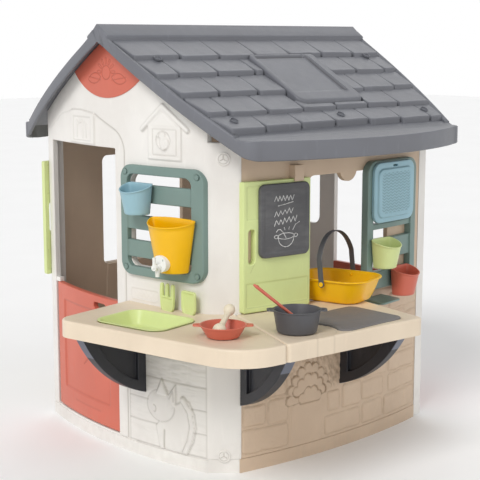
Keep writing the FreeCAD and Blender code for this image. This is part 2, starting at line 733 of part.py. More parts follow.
def bracket(foot, heading):
    """Quarter-round bracket. foot is its wall point, heading its direction in degrees."""
    top = WORKTOP_TOP - WORKTOP_FASCIA
    drop = BRACKET_BOTTOM
    half = BRACKET_THICKNESS / 2

    def place(u, v):
        return V(u, -half, v)

    curve = Part.Arc(place(0, drop), place(150, 290), place(BRACKET_REACH, top)).toShape()
    wire = Part.Wire([curve, Part.LineSegment(place(BRACKET_REACH, top), place(0, top)).toShape(),
                      Part.LineSegment(place(0, top), place(0, drop)).toShape()])
    body = Part.Face(wire).extrude(V(0, BRACKET_THICKNESS, 0))
    for side in (-1, 1):
        inner = Part.Arc(place(34, 252), place(140, 325), place(205, top - 10)).toShape()
        rim = Part.Wire([inner,
                         Part.LineSegment(place(205, top - 10), place(34, top - 10)).toShape(),
                         Part.LineSegment(place(34, top - 10), place(34, 252)).toShape()])
        pocket = Part.Face(rim).extrude(V(0, 12, 0))
        if side > 0:
            pocket.translate(V(0, BRACKET_THICKNESS - 12, 0))
        body = body.cut(pocket)
    body.rotate(V(0, 0, 0), UP, heading)
    body.translate(V(foot[0], foot[1], 0))
    return body


def gable_bracket():
    y = -131.0
    lean = math.degrees(math.asin(-y / GABLE_R))
    return bracket((gable_x(y, 1.2), y), 180 + lean)


def eave_bracket(x):
    lean = math.degrees(math.asin(x / EAVE_R))
    return bracket((x, eave_y(x, 1.2)), 270 + lean)


# ---- hanging pots and tank -----------------------------------------------------------
def hanging_cup(width, depth, height, back_rise, foot_scale, wall=2.5):
    """Half-round cup with a flat back at x = 0, opening upwards and bulging to -X.

    Its rim falls from the back to the front, and a hook on its back goes over a slat.
    """
    def section(scale, z, shrink=0.0):
        half = width / 2 * scale - shrink
        reach = depth * scale - shrink
        back = -shrink
        arc = Part.Arc(V(back, half, z), V(-reach, 0, z), V(back, -half, z)).toShape()
        chord = Part.LineSegment(V(back, -half, z), V(back, half, z)).toShape()
        return Part.Wire([arc, chord])

    outer = loft([section(foot_scale, 0), section(1.0, height + back_rise)])
    inner = loft([section(foot_scale, wall, wall), section(1.0, height + back_rise + wall, wall)])
    cup = outer.cut(inner)
    slope = back_rise / depth
    above = prism([(-depth - 40, height - slope * 40), (20, height + back_rise + slope * 20),
                   (20, height + 200), (-depth - 40, height + 200)],
                  lambda u, v: V(u, -width, v), V(0, 2 * width, 0))
    cup = cup.cut(above)
    hook_half = width * 0.3
    top = height + back_rise
    bridge = block(-wall, SLAT_DEPTH + 4.5, -hook_half, hook_half, top - 6, top - 2)
    tongue = block(SLAT_DEPTH + 2.0, SLAT_DEPTH + 4.5, -hook_half, hook_half, top - 14, top - 2)
    return cup.fuse([bridge, tongue]).removeSplitter()


def hang_on_gable(cup, y, slat_top, cup_top):
    """Hangs a cup on the gable trellis so that its hook clears the top of a slat."""
    placed = cup.copy()
    lean = math.degrees(math.asin(y / GABLE_R))
    placed.rotate(V(0, 0, 0), UP, -lean)
    out = GABLE_TRELLIS_DEPTH + 1.0
    placed.translate(V(gable_x(y, out), y, slat_top + 6.5 - cup_top))
    return placed


def hang_on_eave(cup, x, slat_top, cup_top):
    """Hangs a cup on the kitchen trellis."""
    placed = cup.copy()
    lean = math.degrees(math.asin(x / EAVE_R))
    placed.rotate(V(0, 0, 0), UP, 90 + lean)
    out = EAVE_TRELLIS_DEPTH + 1.0
    placed.translate(V(x, eave_y(x, out), slat_top + 6.5 - cup_top))
    return placed


def planter():
    return hanging_cup(PLANTER_WIDTH, PLANTER_DEPTH, PLANTER_HEIGHT - PLANTER_BACK_RISE,
                       PLANTER_BACK_RISE, PLANTER_FOOT_SCALE)


def water_tank():
    tank = hanging_cup(TANK_WIDTH, TANK_DEPTH, TANK_HEIGHT - TANK_BACK_RISE,
                       TANK_BACK_RISE, TANK_FOOT_SCALE)
    return tank.cut(tap_stem(PIN_CLEARANCE))


def tap_stem(clearance=0.0):
    """Stem of the tap through the tank's front wall, or the hole for it."""
    return cylinder(TAP_BORE_RADIUS + clearance, 24, V(-TAP_REACH, 0, TAP_HEIGHT), V(1, 0, 0))


def tap_body():
    """Round tap plate with a nozzle, screwed into the tank's front."""
    forward = V(1, 0, 0)
    plate = cylinder(TAP_RADIUS, 20, V(-TAP_REACH, 0, TAP_HEIGHT), forward)
    filled = hanging_cup(TANK_WIDTH, TANK_DEPTH, TANK_HEIGHT - TANK_BACK_RISE,
                         TANK_BACK_RISE, TANK_FOOT_SCALE, wall=20)
    plate = plate.cut(filled.fuse(block(-45, 0, -60, 60, 0, 100)))
    axis_z = TAP_HEIGHT - TAP_PIVOT_DROP
    barrel = cylinder(10, 16, V(-TAP_REACH - 14, 0, axis_z), forward)
    nozzle = cone(6, 8, 26, V(-TAP_REACH - 8, 0, axis_z - 28))
    bore = cylinder(3.5, 28, V(-TAP_REACH - 8, 0, axis_z - 29))
    pivot = cylinder(3, 14, V(-TAP_REACH - 27, 0, axis_z), forward)
    return plate.fuse([tap_stem(), barrel, nozzle, pivot]).cut(bore).removeSplitter()


def tap_lever():
    """Lever that turns on the tap's front pivot."""
    axis_z = TAP_HEIGHT - TAP_PIVOT_DROP
    start = -TAP_REACH - 25
    hub = cylinder(9, 8, V(start, 0, axis_z), V(1, 0, 0))
    arm = block(start, start + 6, -4, 4, axis_z, axis_z + 30)
    hole = cylinder(3 + PIN_CLEARANCE, 12, V(start - 2, 0, axis_z), V(1, 0, 0))
    return hub.fuse(arm).cut(hole).removeSplitter()


# ---- kitchen toys --------------------------------------------------------------------
def cup_of_turn(foot_radius, top_radius, height, wall, centre, bottom):
    """Round tapered cup."""
    base = V(centre[0], centre[1], bottom)
    outer = cone(foot_radius, top_radius, height, base)
    inner = cone(foot_radius - wall, top_radius - wall, height, base + V(0, 0, wall))
    return outer.cut(inner)


def ear_pair(centre, radius, z, heading, reach, half_width):
    """Two flat grips on opposite sides of a rim."""
    ears = []
    for turn in (0, 180):
        ear = plan_prism([(radius - 4, -half_width), (radius + reach, -half_width * 0.7, 5),
                          (radius + reach, half_width * 0.7, 5), (radius - 4, half_width)],
                         z - 4, z)
        ear.rotate(V(0, 0, 0), UP, heading + turn)
        ear.translate(V(centre[0], centre[1], 0))
        ears.append(ear)
    return ears


def cooking_pot():
    bottom = WORKTOP_TOP - 2 + 0.3
    pot = cup_of_turn(POT_FOOT_RADIUS, POT_TOP_RADIUS, POT_HEIGHT, 2.5, POT_CENTRE, bottom)
    ears = ear_pair(POT_CENTRE, POT_TOP_RADIUS, bottom + POT_HEIGHT, EAR_HEADING, 18, 20)
    core = cylinder(POT_TOP_RADIUS - 2.6, 20,
                    V(POT_CENTRE[0], POT_CENTRE[1], bottom + POT_HEIGHT - 10))
    return pot.fuse([e.cut(core) for e in ears]).removeSplitter()


def colander():
    bottom = WORKTOP_TOP + 0.3
    bowl = cup_of_turn(44, COLANDER_RADIUS, COLANDER_HEIGHT, 2.5, COLANDER_CENTRE, bottom)
    ears = ear_pair(COLANDER_CENTRE, COLANDER_RADIUS, bottom + COLANDER_HEIGHT,
                    EAR_HEADING, 19, 15)
    core = cylinder(COLANDER_RADIUS - 2.6, 20,
                    V(COLANDER_CENTRE[0], COLANDER_CENTRE[1], bottom + COLANDER_HEIGHT - 10))
    bowl = bowl.fuse([e.cut(core) for e in ears])
    for index in range(8):
        angle = math.radians(45 * index)
        place = V(COLANDER_CENTRE[0] + 27 * math.cos(angle),
                  COLANDER_CENTRE[1] + 27 * math.sin(angle), bottom - 5)
        bowl = bowl.cut(cylinder(5, 20, place))
    return bowl.removeSplitter()


def shaker():
    """Two-ended shaker that leans in the colander."""
    low = V(COLANDER_CENTRE[0] - 26, COLANDER_CENTRE[1] - 14, WORKTOP_TOP + 24.5)
    high = V(COLANDER_CENTRE[0] + 46, COLANDER_CENTRE[1] + 26, WORKTOP_TOP + 62)
    run = high - low
    length = run.Length
    run.normalize()
    ends = Part.makeSphere(19, low).fuse(Part.makeSphere(16, high))
    return ends.fuse(cylinder(8, length, low, run)).removeSplitter()


def ladle():
    """Ladle standing in the pot with its handle over the rim."""
    bowl_centre = V(POT_CENTRE[0] + 14, POT_CENTRE[1] - 6, WORKTOP_TOP + 22)
    bowl = Part.makeSphere(17, bowl_centre)
    tip = V(-540, -652, 622)
    run = tip - bowl_centre
    length = run.Length
    run.normalize()
    return bowl.fuse(cylinder(6.5, length, bowl_centre, run)).removeSplitter()


def basket_outline(scale, z, shrink=0.0):
    """Rounded oval of the basket at one height."""
    half_u = BASKET_HALF[0] * scale - shrink
    half_v = BASKET_HALF[1] * scale - shrink
    turn = math.radians(BASKET_TURN)
    corners = []
    for u, v in ((-half_u, -half_v), (half_u, -half_v), (half_u, half_v), (-half_u, half_v)):
        x = BASKET_CENTRE[0] + u * math.cos(turn) - v * math.sin(turn)
        y = BASKET_CENTRE[1] + u * math.sin(turn) + v * math.cos(turn)
        corners.append((x, y, 62.0 * scale))
    return outline(corners, on_plan(z))


def basket_side(reach):
    """Plan point on the basket's cross line, reach from its centre."""
    turn = math.radians(BASKET_TURN)
    return BASKET_CENTRE[0] - reach * math.sin(turn), BASKET_CENTRE[1] + reach * math.cos(turn)


def basket_cross():
    """Unit vector across the basket."""
    turn = math.radians(BASKET_TURN)
    return V(-math.sin(turn), math.cos(turn), 0)


def basket():
    bottom = WORKTOP_TOP + 0.3
    top = bottom + BASKET_HEIGHT
    wall = 3.0
    outer = loft([basket_outline(BASKET_TAPER, bottom), basket_outline(1.0, top)])
    inner = loft([basket_outline(BASKET_TAPER, bottom + wall, wall),
                  basket_outline(1.0, top + wall, wall)])
    shell = outer.cut(inner)
    rim = Part.Face(basket_outline(1.0, top - 6)).extrude(V(0, 0, 6))
    rim = rim.fuse(Part.Face(basket_outline(1.0, top - 6, -6.0)).extrude(V(0, 0, 6)))
    rim = rim.cut(Part.Face(basket_outline(1.0, top - 7, wall)).extrude(V(0, 0, 9)))
    shell = shell.fuse(rim)
    for pin in basket_pin_pair(PIN_CLEARANCE):
        shell = shell.cut(pin)
    return shell.removeSplitter()


def basket_pin_pair(clearance=0.0):
    """Pins on which the basket handle turns, through both long sides."""
    cross = basket_cross()
    pins = []
    for side in (-1, 1):
        x, y = basket_side(side * (BASKET_HALF[1] - 12))
        base = V(x, y, handle_axis_z())
        pins.append(cylinder(4.0 + clearance, 24.5, base, cross * side))
    return pins


def handle_axis_z():
    return WORKTOP_TOP + BASKET_HEIGHT - 12


def basket_pins():
    pins = []
    cross = basket_cross()
    for side, pin in zip((-1, 1), basket_pin_pair()):
        x, y = basket_side(side * (BASKET_HALF[1] - 12))
        base = V(x, y, handle_axis_z()) + cross * side * 24.5
        pins.append(pin.fuse(cylinder(7.0, 2.5, base, cross * side)))
    return Part.makeCompound(pins)


def basket_handle():
    """Hoop over the basket, drawn as a flat strap that leans back a little."""
    half = BASKET_HALF[1] + 9.0
    strap = 3.0
    width = 17.0
    rise = HANDLE_RISE

    def hoop(reach, height):
        shoulder = height * 0.52
        a = V(0, -reach, 0)
        b = V(0, -reach, shoulder)
        c = V(0, 0, height)
        d = V(0, reach, shoulder)
        e = V(0, reach, 0)
        return Part.Wire([Part.LineSegment(a, b).toShape(), Part.Arc(b, c, d).toShape(),
                          Part.LineSegment(d, e).toShape(), Part.LineSegment(e, a).toShape()])

    outer = Part.Face(hoop(half + strap, rise + strap)).extrude(V(width, 0, 0))
    inner = Part.Face(hoop(half, rise)).extrude(V(width, 0, 0))
    band = outer.cut(inner)
    band.translate(V(-width / 2, 0, 0))
    for side in (-1, 1):
        start = half if side > 0 else -half - strap
        pad = cylinder(width / 2 + 1.5, strap, V(0, start, 0), V(0, 1, 0))
        band = band.fuse(pad)
    bore = cylinder(4.0 + PIN_CLEARANCE, 400, V(0, -200, 0), V(0, 1, 0))
    band = band.cut(bore)
    band.rotate(V(0, 0, 0), V(0, 1, 0), HANDLE_LEAN)
    band.rotate(V(0, 0, 0), UP, BASKET_TURN)
    band.translate(V(BASKET_CENTRE[0], BASKET_CENTRE[1], handle_axis_z()))
    return band.removeSplitter()


# ---- garden tools --------------------------------------------------------------------
def tool_place(shape, y):
    """Stands a tool, drawn about its own foot, in its slot before the gable wall."""
    placed = shape.copy()
    placed.translate(V(gable_x(y, TOOL_OUT), y, WORKTOP_TOP - TOOL_SLOT_DEPTH + 0.5))
    return placed


def garden_fork():
    thick = TOOL_THICKNESS
    palm = prism([(-20, 0), (20, 0), (28, 16, 6), (31, 50, 3), (-31, 50, 3), (-28, 16, 6)],
                 lambda u, v: V(-thick, u, v), V(thick, 0, 0))
    tines = []
    for y in (-24.5, 0.0, 24.5):
        tines.append(block(-thick, 0, y - 6.5, y + 6.5, 40, 88))
    return palm.fuse(tines).removeSplitter()


def garden_trowel():
    thick = TOOL_THICKNESS
    blade = prism([(-20, 0), (20, 0), (30, 20, 14), (30, 74, 9), (-30, 74, 9), (-30, 20, 14)],
                  lambda u, v: V(-thick, u, v), V(thick, 0, 0))
    return blade


def tool_slot(y):
    """Slot in the worktop for a tool's foot."""
    x = gable_x(y, TOOL_OUT)
    return block(x - TOOL_THICKNESS - 1, x + 1, y - 26, y + 26,
                 WORKTOP_TOP - TOOL_SLOT_DEPTH, WORKTOP_TOP + 5)


# ---- screws --------------------------------------------------------------------------
def corner_screws():
    a, b, normal = post_corners()
    screws = []
    for z in POST_SCREW_HEIGHTS:
        middle = V(0.5 * (a[0] + b[0]), 0.5 * (a[1] + b[1]), z)
        outward = V(-normal[0], -normal[1], 0)
        head = cylinder(POST_SCREW_RADIUS, 6.0, middle + outward * 0.2, outward)
        head = head.makeChamfer(1.5, [head.Edges[0]])
        shank = cylinder(7.0, WALL_THICKNESS - 2, middle - outward * (WALL_THICKNESS - 2.2),
                         outward)
        screws.append(head.fuse(shank))
    return Part.makeCompound(screws + [half_turn(s) for s in screws])


# ---- export --------------------------------------------------------------------------
def build():
    """Every node's shape, about the middle of the house."""
    wall = gable_wall()
    kitchen = eave_wall(EAVE_WINDOW, KITCHEN_LUGS)
    back = half_turn(eave_wall(EAVE_WINDOW, BACK_LUGS).fuse(back_ledge()))
    roof = roof_half()
    plate = gable_plate()
    door = half_door()
    pins = Part.makeCompound(door_pins())
    slat_top_blue = GABLE_SLATS[0][1]
    slat_top_tank = GABLE_SLATS[1][1]
    cup = planter()
    shape = {
        "gable_wall_front": wall,
        "gable_wall_rear": half_turn(wall),
        "kitchen_wall": kitchen,
        "back_wall": back,
        "roof_front": roof,
        "roof_back": half_turn(roof),
        "gable_plate_front": plate,
        "gable_plate_rear": half_turn(plate),
        "half_door_front": door,
        "half_door_rear": half_turn(door),
        "hinge_pins_front": pins,
        "hinge_pins_rear": half_turn(pins),
        "trellis_gable": trellis_gable(),
        "trellis_kitchen": trellis_kitchen(),
        "shutter_front": shutter(*SHUTTER_FRONT_X),
        "shutter_back": mirrored(shutter(*SHUTTER_BACK_X)),
        "blackboard": blackboard(),
        "worktop_left": worktop_left(),
        "worktop_right": worktop_right(),
        "bracket_left": gable_bracket(),
        "bracket_middle": eave_bracket(-385.0),
        "bracket_right": eave_bracket(5.0),
        "sink_basin": sink_basin(),
        "cutting_board": board_shape(0.0, WORKTOP_TOP - 5.7, WORKTOP_TOP + 3),
        "planter_blue": hang_on_gable(cup, BLUE_Y, slat_top_blue, PLANTER_HEIGHT),
        "planter_green": hang_on_eave(cup, GREEN_X, EAVE_SLATS[1][1], PLANTER_HEIGHT),
        "planter_red": hang_on_eave(cup, RED_X, EAVE_SLATS[2][1], PLANTER_HEIGHT),
        "water_tank": hang_on_gable(water_tank(), TANK_Y, slat_top_tank, TANK_HEIGHT),
        "tap_body": hang_on_gable(tap_body(), TANK_Y, slat_top_tank, TANK_HEIGHT),
        "tap_lever": hang_on_gable(tap_lever(), TANK_Y, slat_top_tank, TANK_HEIGHT),
        "wash_board": wash_board(),
        "sill_shelf": sill_shelf(),
        "garden_fork": tool_place(garden_fork(), FORK_Y),
        "garden_trowel": tool_place(garden_trowel(), TROWEL_Y),
        "colander": colander(),
        "shaker": shaker(),
        "cooking_pot": cooking_pot(),
        "ladle": ladle(),
        "basket": basket(),
        "basket_pins": basket_pins(),
        "basket_handle": basket_handle(),
        "corner_screws": corner_screws(),
        "trellis_screws": trellis_screws(),
        "roof_screws": roof_screws(),
    }
    return shape


def origin_shift(shapes):
    """Move that brings the middle of the whole object's base to the origin."""
    reach_x = shapes["worktop_left"].optimalBoundingBox(False, False).XMin
    reach_y = shapes["worktop_right"].optimalBoundingBox(False, False).YMin
    return V(-0.5 * (reach_x + VERGE_APEX_X), -0.5 * (reach_y + EAVE_APEX_Y), 0)


def export(shapes):
    os.makedirs("parts", exist_ok=True)
    shift = origin_shift(shapes)
    for name, shape in shapes.items():
        placed = shape.copy()
        placed.translate(shift)
        placed.exportStep(os.path.join("parts", name + ".step"))
        print(name, "valid" if placed.isValid() else "INVALID", round(placed.Volume))


if __name__ == "__main__":
    export(build())
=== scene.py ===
"""Looks of the garden playhouse: moulded plastic skins, tiles and toys on the CAD frame.

Lengths are millimetres about the house's own middle until a mesh is made, then metres.
"""
import json
import math
import bpy
import bmesh
import numpy as np
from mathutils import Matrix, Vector


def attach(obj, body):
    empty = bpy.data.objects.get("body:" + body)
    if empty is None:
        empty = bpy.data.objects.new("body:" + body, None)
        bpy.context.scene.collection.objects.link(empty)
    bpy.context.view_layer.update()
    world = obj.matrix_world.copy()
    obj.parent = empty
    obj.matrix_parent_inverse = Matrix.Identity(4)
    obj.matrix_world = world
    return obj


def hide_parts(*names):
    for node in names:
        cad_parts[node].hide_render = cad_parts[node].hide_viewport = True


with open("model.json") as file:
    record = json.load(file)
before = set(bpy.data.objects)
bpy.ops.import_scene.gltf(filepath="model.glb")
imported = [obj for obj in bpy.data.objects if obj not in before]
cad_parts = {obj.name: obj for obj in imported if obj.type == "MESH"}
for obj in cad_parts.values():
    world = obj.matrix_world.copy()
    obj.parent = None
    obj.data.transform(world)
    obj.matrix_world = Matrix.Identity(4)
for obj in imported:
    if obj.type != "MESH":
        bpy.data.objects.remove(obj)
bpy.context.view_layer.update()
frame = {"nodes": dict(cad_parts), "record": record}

# ---- sizes shared with the CAD frame ---------------------------------------------------
SHIFT = np.array([127.24064611947438, 88.56590937335915, 0.0])
GABLE_R, GABLE_CX = 1481.4285714285713, 961.4285714285713
EAVE_R, EAVE_CY = 2177.7553191489364, 1693.7553191489364
ROOF_LINE_TOP, ROOF_SLOPE = 1305.0, 0.58
ON_TOP = 485.3
PLINTH = 43.0
TILE_ENDS = (149.0, 236.0, 332.0, 417.0, 488.0)
TILE_START = 46.0
POST_A = np.array((-469.42, -384.0))
POST_B = np.array((-402.0, -446.6))
POST_RUN = (POST_B - POST_A) / np.linalg.norm(POST_B - POST_A)
CELLS = 64


def gable_x(y, out=0.0):
    return GABLE_CX - np.sqrt((GABLE_R + out) ** 2 - np.square(y))


def eave_y(x, out=0.0):
    return EAVE_CY - np.sqrt((EAVE_R + out) ** 2 - np.square(x))


def roof_line(y):
    return ROOF_LINE_TOP - ROOF_SLOPE * np.abs(y)


# ---- flat distance fields: negative inside ---------------------------------------------
def smooth(t):
    t = np.clip(t, 0.0, 1.0)
    return t * t * (3 - 2 * t)


def bump(sd, width):
    """1 inside a shape, 0 outside it, with a soft edge of the given width."""
    return smooth(0.5 - sd / width)


def sd_box(u, v, box, r=0.0):
    u0, u1, v0, v1 = box
    qu = np.abs(u - (u0 + u1) / 2) - (u1 - u0) / 2 + r
    qv = np.abs(v - (v0 + v1) / 2) - (v1 - v0) / 2 + r
    return np.hypot(np.maximum(qu, 0), np.maximum(qv, 0)) + np.minimum(np.maximum(qu, qv), 0) - r


def sd_disc(u, v, cu, cv, r):
    return np.hypot(u - cu, v - cv) - r


def sd_oval(u, v, cu, cv, ru, rv):
    k = np.hypot((u - cu) / ru, (v - cv) / rv)
    return (k - 1) * min(ru, rv)


def to_line(u, v, points):
    """Distance to the nearest of a row of segments."""
    best = np.full(np.shape(u), 1e9)
    for (au, av), (bu, bv) in zip(points, points[1:]):
        du, dv = bu - au, bv - av
        t = np.clip(((u - au) * du + (v - av) * dv) / (du * du + dv * dv + 1e-9), 0, 1)
        best = np.minimum(best, np.hypot(u - au - t * du, v - av - t * dv))
    return best


def sd_line(u, v, points, r):
    return to_line(u, v, points) - r


def sd_poly(u, v, points):
    closed = points + points[:1]
    inside = np.zeros(np.shape(u), bool)
    for (au, av), (bu, bv) in zip(points, closed[1:]):
        inside ^= ((av > v) != (bv > v)) & (u < au + (v - av) * (bu - au) / ((bv - av) or 1e-9))
    return np.where(inside, -1, 1) * to_line(u, v, closed)


def unit(vector):
    return vector / np.linalg.norm(vector)


def arc_points(cu, cv, ru, rv, start, end, count=14):
    angles = np.radians(np.linspace(start, end, count))
    return [(cu + ru * math.cos(a), cv + rv * math.sin(a)) for a in angles]


def rounded_outline(corners, steps=8):
    """Points along a polygon whose corners (u, v, radius) are rounded."""
    points = []
    for index, (u, v, *radius) in enumerate(corners):
        if not radius:
            points.append((u, v))
            continue
        spot, r = np.array((u, v), float), radius[0]
        before = unit(np.array(corners[index - 1][:2]) - spot)
        after = unit(np.array(corners[(index + 1) % len(corners)][:2]) - spot)
        half = 0.5 * math.acos(float(np.clip(before @ after, -1, 1)))
        middle = unit(before + after) * r / math.sin(half)
        a, b = (side * r / math.tan(half) - middle for side in (before, after))
        for t in np.linspace(0, 1, steps + 1):
            mix = a * (1 - t) + b * t
            points.append(tuple(spot + middle + unit(mix) * r))
    return points


def lattice(u, v, size, seed, stretch=1.0):
    """Smooth value noise in -1..1 with cells of the given size."""
    table = np.random.default_rng(seed).uniform(-1, 1, (CELLS, CELLS))
    a = np.asarray(u) / size + 100.3
    b = np.asarray(v) / (size * stretch) + 100.7
    ia, ib = np.floor(a).astype(int), np.floor(b).astype(int)
    fa, fb = smooth(a - ia), smooth(b - ib)

    def row(j):
        return table[ia % CELLS, j] * (1 - fa) + table[(ia + 1) % CELLS, j] * fa
    return row(ib % CELLS) * (1 - fb) + row((ib + 1) % CELLS) * fb


class Relief:
    """Height of a moulded face over its wall, and the painted shade of its creases."""

    def __init__(self, u, v, level, wave=0.0, size=60, seed=0):
        self.h = level + wave * lattice(u, v, size, seed)
        self.painted_shade = np.zeros(len(u))

    def press(self, sd, depth, width, dark=0.0, soft=1.0):
        """Presses a shape in, or raises it where depth is negative, and paints shade into it."""
        self.h = self.h - depth * bump(sd, width)
        self.shade(sd, dark, soft)

    # Paints shade over a shape, darkening its colour there.
    def shade(self, sd, dark, soft):
        self.painted_shade = self.painted_shade + dark * bump(sd, soft)

    def lay(self, where, level):
        """Puts another surface in place of this one."""
        self.h = np.where(where, level, self.h)

    def done(self, least=-1e9):
        return np.maximum(self.h, least), np.clip(self.painted_shade, 0, 1)


# ---- shader writing --------------------------------------------------------------------
class Sock:
    """A shader value that can be added, multiplied and so on."""

    def __init__(self, look, socket):
        self.look = look
        self.socket = socket

    def math(self, operation, *others):
        return self.look.add("Math", dict(enumerate((self,) + others)), operation=operation)

    def __add__(self, other):
        return self.math("ADD", other)

    __radd__ = __add__

    def __sub__(self, other):
        return self.math("SUBTRACT", other)

    def __rsub__(self, other):
        return self.look.add("Math", {0: other, 1: self}, operation="SUBTRACT")

    def __mul__(self, other):
        return self.math("MULTIPLY", other)

    __rmul__ = __mul__

    def spread(self, low, high, to_low=0.0, to_high=1.0):
        """Maps low..high on to to_low..to_high, with soft ends."""
        return self.look.add("MapRange", {0: self, 1: low, 2: high, 3: to_low, 4: to_high},
                             interpolation_type="SMOOTHSTEP")


class Finish:
    """One material, or the sky, under construction."""

    def __init__(self, name, holder=bpy.data.materials, shader="Principled BSDF", place="Object"):
        self.material = holder.new(name)
        self.material.use_nodes = True
        self.shader = self.material.node_tree.nodes[shader]
        self.place = self.add("TexCoord", {}, place)

    def plug(self, slot, value):
        if isinstance(value, Sock):
            self.material.node_tree.links.new(value.socket, slot)
        else:
            slot.default_value = value

    def add(self, kind, inputs, output=0, **settings):
        """Makes one node, settings first, and gives one of its outputs."""
        node = self.material.node_tree.nodes.new("ShaderNode" + kind)
        for key, value in settings.items():
            setattr(node, key, value)
        for key, value in inputs.items():
            self.plug(node.inputs[key], value)
        return Sock(self, node.outputs[output])

    def stretched(self, scale):
        return self.add("Mapping", {"Vector": self.place, "Scale": scale})

    def noise(self, scale, detail=2.0, vector=None):
        return self.add("TexNoise", {"Vector": vector or self.place, "Scale": scale,
                                     "Detail": detail}, "Fac")

    def mix(self, factor, a, b):
        return self.add("Mix", {0: factor, 6: a, 7: b}, 2, data_type="RGBA")

    def low(self):
        """Painted crease shade: 1 in creases, as each piece's own attribute says."""
        return self.add("Attribute", {}, "Fac", attribute_name="low")

    def height(self):
        return self.add("SeparateXYZ", {0: self.place}, 2)

    def bumps(self, layers):
        """Stacks bump layers (height, strength, distance) on one another."""
        normal = None
        for height, strength, distance in layers:
            inputs = {"Height": height, "Strength": strength, "Distance": distance}
            if normal is not None:
                inputs["Normal"] = normal
            normal = self.add("Bump", inputs)
        return normal

    def set(self, **values):
        for key, value in values.items():
            self.plug(self.shader.inputs[key.replace("_", " ")], value)
        return self.material


def rgb(r, g, b):
    return (r, g, b, 1.0)


def tone(colour, factor, shift=(1.0, 1.0, 1.0)):
    return rgb(*(min(1.0, c * factor * s) for c, s in zip(colour, shift)))


def moulded(name, colour, rough=0.42, grain=0.16, wave=0.05, worn=None, dusty=0.03):
    """Moulded plastic: fine eroded grain, slow sink waves, faint scuffs and dust, with painted
    shade in creases.
    """
    look = Finish(name)
    cloud = look.noise(5.0, 3.0)
    patch = look.noise(38.0, 4.0)
    grainy = look.noise(1500.0, 2.0)
    fleck = look.noise(420.0, 3.0)
    scuffs = look.noise(60.0, 5.0, look.stretched((1.0, 1.0, 0.22))).spread(0.60, 0.72)
    deep = tone(colour, 0.955, (1.0, 0.99, 0.985))
    base = look.mix(cloud.spread(0.35, 0.65), deep, tone(colour, 1.03))
    base = look.mix(patch.spread(0.40, 0.72) * 0.35, base, rgb(*colour))
    base = look.mix(fleck.spread(0.52, 0.75) * 0.16, base, tone(colour, 0.86))
    base = look.mix(scuffs * 0.12, base, worn or tone(colour, 1.25))
    # Painted shade: creases darken towards a deeper, warmer copy of the colour.
    base = look.mix(look.low() * 0.85, base, tone(colour, 0.50, (1.0, 0.95, 0.88)))
    dust = look.height().spread(0.16, 0.0) * patch.spread(0.38, 0.66)
    base = look.mix(dust * (dusty * 3.0), base, rgb(0.42, 0.37, 0.30))
    shine = patch * 0.12 + scuffs * 0.10 + fleck * 0.06 + (rough - 0.09)
    normal = look.bumps([(cloud, wave, 0.02), (patch, wave, 0.004), (grainy, grain, 0.0006)])
    return look.set(Base_Color=base, Roughness=shine, Normal=normal)


WHITE = moulded("warm_white_plastic", (0.80, 0.775, 0.735), 0.44)
SAND = moulded("sand_plastic", (0.62, 0.475, 0.345), 0.55, grain=0.25)
CORAL = moulded("coral_plastic", (0.62, 0.145, 0.092), 0.38)
SLATE = moulded("slate_plastic", (0.155, 0.16, 0.18), 0.44, worn=rgb(0.30, 0.31, 0.34))
LIME = moulded("lime_plastic", (0.66, 0.75, 0.33), 0.38)
SAGE = moulded("sage_plastic", (0.185, 0.27, 0.245), 0.40)
SKY = moulded("light_blue_plastic", (0.31, 0.51, 0.59), 0.38)
YELLOW = moulded("yellow_plastic", (0.92, 0.51, 0.0), 0.32)
GRAPHITE = moulded("graphite_plastic", (0.085, 0.086, 0.095), 0.40, worn=rgb(0.2, 0.2, 0.21))
INK = moulded("near_black_plastic", (0.022, 0.023, 0.03), 0.40, worn=rgb(0.10, 0.11, 0.14))
# Painted highlight: a lighter blue-grey copy of the bracket plastic, used only on the brackets'
# curved rims.
RIM_PAINTED_HIGHLIGHT = moulded("bracket_rim_painted_highlight", (0.13, 0.145, 0.19), 0.40)
BEIGE = moulded("beige_plastic", (0.76, 0.64, 0.49), 0.40)
TAP_WHITE = moulded("tap_white_plastic", (0.85, 0.86, 0.83), 0.34)
MAT_GREY = moulded("cutting_mat_plastic", (0.20, 0.19, 0.19), 0.55, grain=0.3)


def speckled():
    """Cream plastic with dark and rust flecks."""
    look = Finish("speckled_cream_plastic")
    colour = (0.74, 0.66, 0.50)
    cells = look.add("TexVoronoi", {"Vector": look.place, "Scale": 420.0}, "Distance")
    rarity = look.noise(300.0, 2.0).spread(0.50, 0.60)
    base = look.mix(look.noise(30.0, 3.0), tone(colour, 0.92), tone(colour, 1.1))
    base = look.mix(cells.spread(0.30, 0.16) * rarity * 0.7, base, rgb(0.28, 0.20, 0.13))
    normal = look.bumps([(look.noise(1500.0, 2.0), 0.2, 0.0006)])
    return look.set(Base_Color=base, Roughness=look.noise(90.0, 3.0) * 0.2 + 0.34, Normal=normal)


def slate_board():
    """Writing surface with wiped chalk haze."""
    look = Finish("chalk_board_plastic")
    wiped = look.noise(16.0, 5.0, look.stretched((1.0, 1.0, 3.0)))
    powder = look.noise(900.0, 3.0)
    base = look.mix(wiped.spread(0.42, 0.72) * 0.30, rgb(0.095, 0.095, 0.10),
                    rgb(0.20, 0.20, 0.205))
    base = look.mix(powder.spread(0.55, 0.75) * 0.15, base, rgb(0.30, 0.30, 0.30))
    normal = look.bumps([(powder, 0.25, 0.0007)])
    return look.set(Base_Color=base, Roughness=wiped * 0.2 + 0.55, Normal=normal)


